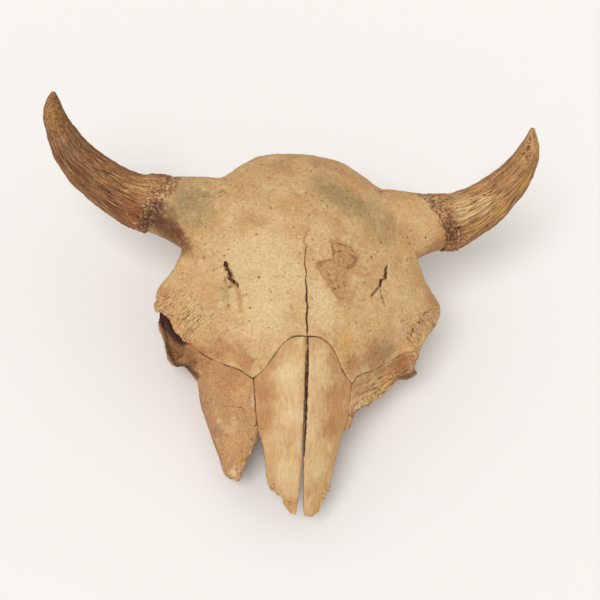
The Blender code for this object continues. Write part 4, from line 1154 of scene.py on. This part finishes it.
# %% Colours of the bone
DAYLIGHT = 1.21


def tone(red, green, blue):
    """The share of light given back by a surface that looks like this colour in the studio light."""
    shown = np.array([red, green, blue]) / 255
    light = np.where(shown <= 0.04045, shown / 12.92, ((shown + 0.055) / 1.055) ** 2.4)
    return light / DAYLIGHT


CREAM = tone(226, 197, 148)
TAN = tone(213, 176, 124)
ORANGE_TAN = tone(210, 163, 108)
RUST = tone(184, 128, 78)
PINK_BROWN = tone(192, 146, 102)
GREY_GREEN = tone(162, 139, 93)
MAUVE = tone(168, 133, 100)
OCHRE = tone(206, 158, 84)
STRAW = tone(220, 186, 122)
# Painted shade for the sides and undersides, which face away from where the brow faces.
SIDE_AND_UNDER_SHADE = RUST * 0.8
HORN_BROWN = tone(142, 92, 52)
BURR_RED = tone(150, 90, 52)
# These two browns colour earth stains, and they also serve as painted shade in hollows, slits, holes and the
# eye socket.
EARTH_AND_SHADE = tone(120, 73, 38)
DARK_EARTH_AND_SHADE = tone(74, 38, 20)


def mixed(colours, *layers):
    """Some vertex colours with new ones laid over them in turn, each by its own share."""
    for new, share in layers:
        colours = colours + (new - colours) * np.clip(share, 0, 1)[:, None]
    return colours


print("cream gives back", np.round(CREAM, 2))

# %% Hollows and seams
def hollows(piece, rounds):
    """How far each vertex lies below the average of its surroundings, in metres."""
    points, normals = places(piece)
    count = len(piece.data.edges)
    ends = np.empty(2 * count, np.int32)
    piece.data.edges.foreach_get("vertices", ends)
    a, b = ends[0::2], ends[1::2]
    links = np.bincount(a, minlength=len(points)) + np.bincount(b, minlength=len(points))
    calm = points.copy()
    for _ in range(rounds):
        total = np.stack([
            np.bincount(a, calm[b, i], len(points)) + np.bincount(b, calm[a, i], len(points))
            for i in range(3)
        ], 1)
        calm = 0.4 * calm + 0.6 * total / np.maximum(links, 1)[:, None]
    return ((calm - points) * normals).sum(1)


# %% The stains of the forehead and the painted shade of its troughs: where, how wide in millimetres, which colour, how strong
BROW_BLOTS = [
    ((268, 262), 46, CREAM, 0.85), ((264, 312), 30, CREAM, 0.85), ((322, 304), 17, CREAM, 0.9),
    ((317, 292), 10, CREAM, 0.7), ((325, 320), 14, CREAM, 0.7), ((320, 226), 14, CREAM, 0.5),
    ((300, 212), 24, ORANGE_TAN, 0.5), ((282, 165), 13, PINK_BROWN, 0.75),
    ((318, 163), 10, PINK_BROWN, 0.7), ((262, 222), 7, PINK_BROWN, 0.5), ((291, 232), 11, ORANGE_TAN, 0.6),
    ((304, 229), 7, RUST, 0.4), ((240, 180), 20, ORANGE_TAN, 0.5), ((355, 182), 16, ORANGE_TAN, 0.5),
    ((188, 200), 24, GREY_GREEN, 0.9), ((204, 214), 18, GREY_GREEN, 0.35),
    ((347, 338), 9, OCHRE * 1.22, 0.65), ((344, 352), 9, OCHRE, 0.4), ((382, 352), 20, MAUVE, 0.75),
    ((372, 352), 14, RUST, 0.6), ((408, 345), 13, ORANGE_TAN, 0.6), ((432, 306), 12, PINK_BROWN, 0.7),
    ((196, 352), 16, RUST, 0.75), ((222, 348), 18, RUST, 0.65), ((246, 362), 10, RUST, 0.8),
    ((240, 352), 12, RUST, 0.45), ((185, 345), 11, RUST, 0.6), ((175, 300), 16, ORANGE_TAN, 0.5),
    ((185, 275), 15, ORANGE_TAN, 0.5), ((200, 290), 12, ORANGE_TAN, 0.4), ((405, 205), 20, ORANGE_TAN, 0.5),
    ((394, 285), 18, CREAM, 0.35), ((402, 318), 16, CREAM, 0.35), ((228, 292), 12, GREY_GREEN, 0.25),
    ((352, 364), 12, RUST, 0.75), ((400, 240), 18, ORANGE_TAN, 0.6), ((348, 296), 12, MAUVE, 0.35),
    ((434, 298), 10, RUST, 0.5), ((420, 272), 12, ORANGE_TAN, 0.6), ((163, 296), 11, RUST, 0.4),
]
BROW_BANDS = [
    (line_on_bone((330, 189), (346, 199), (362, 208)), 22, GREY_GREEN, 0.55),
    (line_on_bone((322, 186), (340, 196), (358, 208), (384, 226)), 36, GREY_GREEN, 0.45),
    (line_on_bone((158, 302), (172, 322), (190, 338)), 8, ORANGE_TAN, 0.5),
    (SCAR_VEINS, 3, RUST, 0.5),
    (SCAR_STEP, 3.5, RUST, 0.5),
    (SCAR_TOP, 5.0, RUST, 0.6),
    *((line, 1.7, RUST, 0.55) for line in SCAR_THREADS),
    (line_on_bone((351, 256), (356, 258), (354, 264), (349, 267)), 4, EARTH_AND_SHADE, 0.55),
    (MIDLINE_HAIRLINE, 2.2, RUST, 0.7),
    (HAIRLINE_SIDE, 1.8, RUST, 0.6),
    # The next three bands are painted shade in the trough below the right slit.
    (line_on_bone((230, 275), (233, 285)), 7, RUST, 0.75),
    (line_on_bone((237.5, 288), (240, 299), (241, 311)), 4.5, RUST, 0.5),
    (line_on_bone((225.5, 276), (226, 294), (228, 308)), 4.5, GREY_GREEN, 0.3),
    (line_on_bone((233, 290), (234, 308)), 4, CREAM, 0.5),
    # Painted shade along the tail of the left slit.
    (SLOT_LEFT_TAIL, 4.0, EARTH_AND_SHADE, 0.4),
]


def stained(points, colours, blots, bands):
    """Vertex colours with the blots and bands laid over them."""
    for k, ((px, py), width, colour, strength) in enumerate(blots):
        share = strength * blot(points, on_bone(px, py), width / 1000, 0.4, 100 + k)
        colours = mixed(colours, (colour, share))
    for k, (line, width, colour, strength) in enumerate(bands):
        colours = mixed(colours, (colour, strength * band(points, line, width / 1000, 0.4, 150 + k)))
    return colours


def mottled(points, colours, strength):
    """Vertex colours with the uneven bleaching that all weathered bone has."""
    warm = rough(points, 0.026, 4, 201)
    pale = rough(points, 0.0125, 4, 205)
    dark = ramp(0.30, 0.95, rough(points, 0.0090, 4, 209))
    return mixed(
        colours,
        (ORANGE_TAN * 0.88, 0.70 * strength * ramp(-0.2, 0.6, warm)),
        (CREAM, 0.42 * strength * ramp(0.15, 0.7, pale)),
        (RUST, 0.42 * strength * dark),
    )


# %% The stains of the other bones, and painted shade in their depths
FACE_BLOTS = [
    ((225, 385), 14, RUST, 0.5), ((222, 404), 11, PINK_BROWN, 0.6), ((218, 430), 8, MAUVE, 0.6),
    ((219, 421), 4, CREAM, 0.6), ((240, 396), 9, ORANGE_TAN, 0.7), ((244, 428), 9, PINK_BROWN, 0.6),
    ((230, 446), 11, ORANGE_TAN, 0.6), ((233, 474), 7, CREAM, 0.8), ((241, 459), 5, OCHRE, 0.8),
    ((206, 365), 12, RUST, 0.7), ((190, 352), 10, RUST, 0.7), ((376, 391), 19, STRAW, 0.8),
    ((360, 404), 11, CREAM, 0.8), ((384, 384), 8, OCHRE, 0.7), ((402, 362), 13, BURR_RED, 0.75),
    ((415, 360), 7, BURR_RED, 0.6), ((236, 370), 9, RUST, 0.8), ((256, 372), 6, RUST, 0.6),
    ((173, 350), 10, RUST, 0.7), ((186, 338), 3.5, CREAM, 0.9), ((248, 384), 6, OCHRE, 0.3),
]
FACE_BANDS = [
    (line_on_bone((412, 352), (416, 356), (417, 364)), 3, CREAM, 0.6),
    (line_on_bone((392, 372), (404, 366), (414, 360)), 8, RUST, 0.7),
]
# Painted shade, laid by pixel, in and below the right eye socket and along the left cheek's lower edges; the
# wide first row also browns the socket's outer wall.
DEEP_SHADE = [
    ([(176, 344), (180, 353), (185, 362)], 22, EARTH_AND_SHADE, 0.55, 6),
    ([(160, 318), (165, 334), (169, 352), (175, 364), (188, 368), (197, 376)], 5, DARK_EARTH_AND_SHADE, 0.8, 2.5),
    ([(158, 309), (164, 318), (172, 328), (178, 334), (184, 338)], 15, DARK_EARTH_AND_SHADE, 1.0, 2.5),
    ([(398, 377), (408, 377), (417, 371)], 4, DARK_EARTH_AND_SHADE, 0.6, 2.0),
    ([(352, 416), (362, 408), (372, 403)], 3.0, EARTH_AND_SHADE, 0.5, 2.0),
]
# Painted shade inside the slits, cracks and the split of the nose bones, laid where the camera looks into
# them.
DEEP_CRACKS = [
    (SLOT_RIGHT, 1.9, DARK_EARTH_AND_SHADE, 1.0), (SLOT_MOUTH, 3.0, DARK_EARTH_AND_SHADE, 1.0),
    (spot_line(226.1, 264.8), 5.0, DARK_EARTH_AND_SHADE, 1.0), (SLOT_LEFT, 2.7, DARK_EARTH_AND_SHADE, 1.0),
    (SLOT_LEFT_FOOT, 1.7, DARK_EARTH_AND_SHADE, 1.0), (SLOT_LEFT_TAIL, 1.4, EARTH_AND_SHADE, 0.6),
    (BRANCH_LEFT, 1.2, EARTH_AND_SHADE, 0.6), (WIDE_CRACK, 1.4, DARK_EARTH_AND_SHADE, 0.85), (MIDLINE_CRACK, 1.0, EARTH_AND_SHADE, 0.85),
    (NOSE_SLIT, 2.4, DARK_EARTH_AND_SHADE, 1.0),
]
NOSE_BLOTS = [
    ((284, 346), 12, ORANGE_TAN, 0.6), ((265, 392), 12, RUST, 0.7), ((263, 424), 12, RUST, 0.6),
    ((271, 452), 10, ORANGE_TAN, 0.6), ((289, 376), 14, CREAM, 0.85), ((296, 414), 11, CREAM, 0.75),
    ((287, 470), 12, CREAM, 0.6), ((293, 504), 9, RUST, 0.6), ((319, 368), 13, CREAM, 0.75),
    ((313, 343), 9, RUST, 0.4), ((333, 396), 13, RUST, 0.7), ((330, 430), 11, RUST, 0.6),
    ((317, 468), 10, CREAM, 0.5), ((322, 498), 9, OCHRE, 0.5), ((315, 425), 9, CREAM, 0.4),
]
SUTURES = [
    line_on_bone((227, 363), (240, 368), (251, 378), (252, 398), (256, 424)),
    line_on_bone((250, 377), (262, 362), (273, 344), (290, 336), (307, 334)),
    line_on_bone((307, 334), (322, 336), (333, 348), (342, 370), (350, 382), (360, 376), (372, 371)),
]
HORN_BLOTS = [
    ((174, 182), 13, TAN, 0.7), ((146, 185), 20, ORANGE_TAN, 0.8), ((118, 168), 14, RUST, 0.4),
    ((53, 118), 12, OCHRE, 0.35), ((50, 104), 9, OCHRE, 0.3), ((70, 140), 14, MAUVE, 0.35),
    ((62, 118), 9, EARTH_AND_SHADE, 0.6), ((60, 98), 7, DARK_EARTH_AND_SHADE, 0.7), ((62, 158), 12, EARTH_AND_SHADE, 0.6),
    ((150, 219), 13, EARTH_AND_SHADE, 0.8), ((132, 214), 18, BURR_RED, 0.9), ((92, 190), 18, EARTH_AND_SHADE, 0.6),
    ((97, 178), 7, OCHRE, 0.35), ((112, 208), 16, EARTH_AND_SHADE, 0.6), ((142, 224), 12, BURR_RED, 0.9),
    ((74, 166), 14, EARTH_AND_SHADE, 0.5), ((462, 202), 18, TAN, 1.0), ((485, 192), 16, ORANGE_TAN, 0.8),
    ((505, 176), 12, RUST, 0.4), ((500, 208), 12, OCHRE, 0.9), ((526, 182), 10, OCHRE, 0.9),
    ((532, 140), 12, TAN, 0.5), ((521, 165), 10, ORANGE_TAN, 0.5), ((455, 238), 10, EARTH_AND_SHADE, 0.7),
    ((463, 214), 12, CREAM, 0.7), ((480, 226), 12, OCHRE, 0.7), ((486, 206), 11, CREAM, 0.6),
    # The five small dark blots below are painted shade inside the holes near the left horn's tip.
    ((535, 135.5), 1.9, DARK_EARTH_AND_SHADE, 1.0), ((527.8, 148), 2.2, DARK_EARTH_AND_SHADE, 1.0),
    ((530, 138.8), 1.4, DARK_EARTH_AND_SHADE, 1.0), ((524.1, 153.6), 1.5, DARK_EARTH_AND_SHADE, 1.0),
    ((526.9, 157), 1.3, DARK_EARTH_AND_SHADE, 1.0),
]
BURR_RIGHT = line_on_bone((172, 177), (168, 186), (161, 196), (154, 207), (149, 216))
BURR_LEFT = line_on_bone((425, 195), (437, 206), (447, 219), (453, 230), (455, 241))
BURR_BANDS = [
    (line_on_bone((157, 208), (150, 217), (145, 226)), 15, DARK_EARTH_AND_SHADE, 0.85),
    (line_on_bone((449, 224), (452, 233), (453, 241)), 13, EARTH_AND_SHADE, 0.95),
    (line_on_bone((447, 226), (450, 236)), 9, DARK_EARTH_AND_SHADE, 0.7),
]
PEDICLE_BLOTS = [
    ((154, 216), 12, DARK_EARTH_AND_SHADE, 1.0), ((160, 226), 13, DARK_EARTH_AND_SHADE, 0.8), ((172, 234), 16, EARTH_AND_SHADE, 1.0),
    ((184, 245), 12, EARTH_AND_SHADE, 0.8), ((168, 216), 16, EARTH_AND_SHADE, 0.6), ((170, 190), 9, TAN, 0.4),
    ((440, 241), 9, RUST, 0.7), ((434, 222), 12, ORANGE_TAN, 0.5), ((434, 247), 12, RUST, 0.5),
    ((168, 230), 14, DARK_EARTH_AND_SHADE, 0.35),
]

# %% [markdown]
# Nose bones are pale beside their split and warmer outwards. A horn core is streaked along its
# middle and granular at its base and tip, and the burr is a rough ring of pale grains.

# %% Paint for nose bones, horn cores and burrs
def nose_paint(points, colours):
    """A pale strip beside the split of the nose bones, and warm outer halves."""
    flat = square_on(points)
    edges = np.linspace(flat[:, 1].min(), flat[:, 1].max() + 1e-6, 31)
    rows = np.digitize(flat[:, 1], edges) - 1
    widest = np.zeros(30)
    np.maximum.at(widest, rows, np.abs(flat[:, 0]))
    across = np.abs(flat[:, 0]) / widest[rows] + 0.25 * rough(flat * (1, 0.45, 1), 0.016, 2, 241)
    towards_tip = ramp(edges[-1] - 0.080, edges[0] + 0.03, flat[:, 1])
    inner = ramp(0.0040, 0.0012, np.abs(flat[:, 0] - 0.0006))
    return mixed(
        colours,
        (RUST, 0.60 * ramp(0.44, 0.90, across) * (1 - 0.55 * towards_tip)),
        (CREAM, 0.30 * ramp(0.72, 0.20, across) * (1 - 0.5 * towards_tip)),
        (RUST, 0.45 * inner),
    )


def piece_grain(piece):
    """The grain vectors of a piece."""
    kept = np.empty(3 * len(piece.data.vertices), np.float32)
    piece.data.attributes["grain"].data.foreach_get("vector", kept)
    return kept.reshape(-1, 3).astype(float)


def horn_paint(name, piece, points, colours):
    """Broad dark furrows along the horn, a granular base and tip, and painted shade on its lower side."""
    along, out = horn_places[name]
    place = along / along.max()
    streaky = streaks(place, out, 0.7)
    grain = piece_grain(piece)
    wide = noise(grain / (3.2, 3.2, 1.5), 1.0, 221)
    narrow = noise(grain / (1.7, 1.7, 1.0), 1.0, 224)
    coarse, granules = rough(points, 0.0070, 3, 227), noise(points, 0.0021, 229)
    grainy = ramp(0.36, 0.16, place) + ramp(0.68, 0.84, place)
    grainy *= 1 - 0.45 * inner_side(out)
    return mixed(
        colours,
        (EARTH_AND_SHADE, 0.45 * streaky * ramp(0.05, 0.6, wide)),
        (DARK_EARTH_AND_SHADE, 0.25 * streaky * ramp(0.15, 0.6, narrow)),
        (ORANGE_TAN, 0.30 * streaky * ramp(0.15, 0.6, -narrow)),
        (EARTH_AND_SHADE, 0.42 * (1 - streaky) * ramp(0.1, 0.8, coarse)),
        (DARK_EARTH_AND_SHADE, 0.60 * grainy * ramp(0.15, 0.55, granules)),
        (OCHRE, 0.45 * grainy * ramp(0.15, 0.55, -granules)),
        # The horn's lower side, towards the nose, is painted darker as shade.
        (EARTH_AND_SHADE, 0.75 * ramp(0.35, -0.75, out[:, 1]) * ramp(0.4, -0.4, out[:, 2])),
    )


def burr_paint(points, colours):
    """Pale grains with dark pits between them, all round both burrs."""
    grains = noise(points, 0.0026, 251)
    for side, line in ((-1, BURR_RIGHT), (1, BURR_LEFT)):
        beyond = off_burr(points, side) + 0.004 * rough(points, 0.009, 2, 253)
        ring = ramp(-0.007, -0.001, beyond) * ramp(0.014, 0.004, beyond) * far_out(points, side)
        seen = band(points, line, 0.018, 0.5, 255)
        share = np.maximum(0.7 * ring, seen)
        colours = mixed(
            colours,
            (BURR_RED, 0.75 * share),
            (DARK_EARTH_AND_SHADE, 0.75 * share * ramp(0.10, 0.50, -grains)),
            (CREAM, 0.80 * share * ramp(0.12, 0.42, grains)),
        )
    return stained(points, colours, [], BURR_BANDS)


# %% [markdown]
# Some hollows are too narrow for the light of a studio to show them as dark as deep shade would.
# Painted shade is laid where the camera looks into them, by each vertex's own pixel.

# %% Shade in the depths
def flat_picture(pixels):
    """Pixels laid out as a plane of points, a thousandth of a unit each."""
    return np.hstack([pixels / 1000, np.zeros((len(pixels), 1))])


def min_off(points, lines):
    """How far each point is from the nearest of some lines."""
    return np.min([off_line(points, line)[0] for line in lines], axis=0)


def shaded_deep(name, points, normals, colours):
    """Painted shade in the depth of slits and sockets, placed as the camera looks into them."""
    shaken = flat_picture(in_picture(points) + 0.5 * wobble(points, 0.004, 271)[:, :2])
    towards = (np.array(eye_world) - points) / DISTANCE
    facing = ramp(-0.60, -0.25, (normals * towards).sum(1))
    uneven = 0.95 + 0.45 * noise(points, 0.007, 273)
    for line, width, colour, strength in DEEP_CRACKS:
        near, along = off_line(points, line)
        wide = width / 1000 * uneven * (0.5 + 0.5 * faded_ends(along, 0.3))
        away = off_line(shaken, flat_picture(in_picture(line)))[0] / wide
        share = strength * (1 - ramp(0.40, 0.65, away)) * facing * (near < 0.020)
        colours = mixed(colours, (colour, share))
    if name.startswith(FACE_BONES):
        for pixels, width, colour, strength, soft in DEEP_SHADE:
            away = off_line(shaken, flat_picture(np.array(pixels, float)))[0] * 1000
            share = 1 - ramp(0.5 * width - soft, 0.5 * width + soft, away)
            colours = mixed(colours, (colour, strength * share * facing))
    return colours


# %% [markdown]
# Last, every bone gets its ground colour, its bleaching, its stains, painted shade on its sides and
# undersides, the earth and painted shade of its hollows, the dark lines of its sutures and painted
# shade deep in its slits and sockets, in that order.

# %% Paint every bone
GROUND = {
    "forehead": TAN, "horn": HORN_BROWN, "nasal": TAN, "lacrimal": PINK_BROWN, "maxilla": PINK_BROWN,
    "zygomatic": ORANGE_TAN, "temporal": TAN, "occipital": TAN, "sphenoid": TAN,
}


def painted(name, piece, nodes):
    """Works out the colour of each vertex of a piece and keeps it as its paint."""
    points, normals = places(piece)
    horn = name.startswith("horn")
    ground = next(colour for start, colour in GROUND.items() if name.startswith(start))
    colours = np.tile(ground, (len(points), 1))
    if name == "horn_core_skin_left":
        colours = np.tile(0.40 * HORN_BROWN + 0.60 * ORANGE_TAN, (len(points), 1))
    colours = mottled(points, colours, 0.3 if horn else 1.0)
    if name == "forehead":
        colours = stained(points, colours, BROW_BLOTS, [])
        bare = scar_share(points)
        colours = mixed(
            colours,
            (ORANGE_TAN * 0.80, 0.90 * bare),
            (RUST, 0.70 * bare * ramp(-0.1, 0.6, rough(points, 0.0070, 3, 243))),
            (CREAM, 0.35 * bare * ramp(0.15, 0.6, noise(points, 0.0032, 245))),
        )
        colours = stained(points, colours, [], BROW_BANDS)
        colours = burr_paint(points, stained(points, colours, PEDICLE_BLOTS, []))
    elif name.startswith("nasal"):
        colours = stained(points, nose_paint(points, colours), NOSE_BLOTS, [])
    elif horn:
        colours = stained(points, colours, HORN_BLOTS, [])
        colours = horn_paint(name, piece, points, colours)
        colours = burr_paint(points, stained(points, colours, PEDICLE_BLOTS, []))
    elif finish_of(name) is FINISHES["face"]:
        colours = stained(points, colours, FACE_BLOTS, FACE_BANDS)
    upward = normals @ turned[:, 2]
    small, large = hollows(piece, 3), hollows(piece, 24)
    # Hollows are darkened, partly as earth lodged in them and partly as painted shade.
    grime_and_shade = 0.80 * ramp(0.00006, 0.00032, small) + 0.55 * ramp(0.0002, 0.0011, large)
    # Sides and undersides that face away from where the brow faces are painted darker as shade, and the tops
    # of small bumps are made paler.
    colours = mixed(
        colours,
        (SIDE_AND_UNDER_SHADE, 0.55 * ramp(0.75, -0.1, upward)),
        (CREAM, 0.35 * ramp(0.00005, 0.00025, -small)),
    )
    grime_and_shade *= 0.75 if horn else 1 - 0.85 * broken(points)
    if not horn:
        away, _ = to_other_bones(points, neighbours_tree(nodes), 0.003)
        seen = ramp(0.006, 0.002, min_off(points, SUTURES))
        shown = np.maximum(seen, 0.25 * ramp(-0.3, 0.6, noise(points, 0.014, 231)))
        grime_and_shade *= 1 - 0.9 * ramp(0.0022, 0.0008, away) * (1 - seen)
        if name != "forehead":
            colours = mixed(colours, (EARTH_AND_SHADE, 0.8 * shown * ramp(0.0012, 0.0005, away)))
    # The deepest hollows go darkest, as earth and painted shade.
    darkest = np.clip(1.6 * grime_and_shade - 0.7, 0, 0.9)
    colours = mixed(colours, (EARTH_AND_SHADE, np.clip(1.3 * grime_and_shade, 0, 0.9)), (DARK_EARTH_AND_SHADE, darkest))
    colours = shaded_deep(name, points, normals, colours)
    keep(piece, "paint", "FLOAT_COLOR", np.hstack([colours, np.ones((len(points), 1))]))


for name, piece in pieces.items():
    painted(name, piece, BONES[name][0])
    piece.data.shade_smooth()
    print(name, "painted")

# %% [markdown]
# ## Nothing under the floor
# The relief has pushed a few points of the feet a hair below the floor. They are laid flat on it.

# %% Flat feet
for piece in pieces.values():
    points, _ = places(piece)
    points[:, 2] = np.maximum(points[:, 2], 0)
    put(piece, points)

# %% [markdown]
# ## Floor and light
# The skull lies on a pale cloth under soft light. A bright sky all round fills the shadows, and one
# wide, soft source stands a little above and to the left of the camera, so that the shadows lie
# close beside the bone.

# %% Floor
FLOOR_HALF = 4.0
FLOOR_LEVEL = -0.0004
floor_mesh = bpy.data.meshes.new("floor")
floor_corners = [(-1, -1), (1, -1), (1, 1), (-1, 1)]
floor_places = [(x * FLOOR_HALF, y * FLOOR_HALF, FLOOR_LEVEL) for x, y in floor_corners]
floor_mesh.from_pydata(floor_places, [], [(0, 1, 2, 3)])
floor = linked("floor", floor_mesh)
cloth = bpy.data.materials.new("pale_cloth")
cloth.use_nodes = True
cloth_look = cloth.node_tree.nodes["Principled BSDF"].inputs
cloth_look["Base Color"].default_value = (0.815, 0.785, 0.75, 1)
cloth_look["Roughness"].default_value = 0.9
floor_mesh.materials.append(cloth)

# %% Light
SKY_STRENGTH = 0.61
SUN_STRENGTH = 2.05
SUN_WIDTH = math.radians(30)
scene = bpy.context.scene
scene.view_settings.view_transform = "Standard"
studio = bpy.data.worlds.new("studio")
studio.use_nodes = True
sky = studio.node_tree.nodes["Background"].inputs
sky["Color"].default_value = (1.02, 0.995, 0.955, 1)
sky["Strength"].default_value = SKY_STRENGTH
scene.world = studio
window = bpy.data.objects.new("window", bpy.data.lights.new("window", "SUN"))
window.data.energy = SUN_STRENGTH
window.data.color = (0.98, 1.0, 1.04)
window.data.angle = SUN_WIDTH
towards_window = resting.to_3x3() @ (BACKWARD + 0.14 * UPWARD - 0.17 * RIGHTWARD)
window.rotation_euler = towards_window.to_track_quat("Z", "Y").to_euler()
scene.collection.objects.link(window)
print("light comes from", [round(v, 2) for v in towards_window.normalized()])

# %% [markdown]
# ## Handing over
# Each piece rides with the skull, stands in for the solids it was made from and says whose finish
# it takes.

# %% Hand over
for name, (nodes, _) in BONES.items():
    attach(pieces[name], "root")
    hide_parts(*nodes)
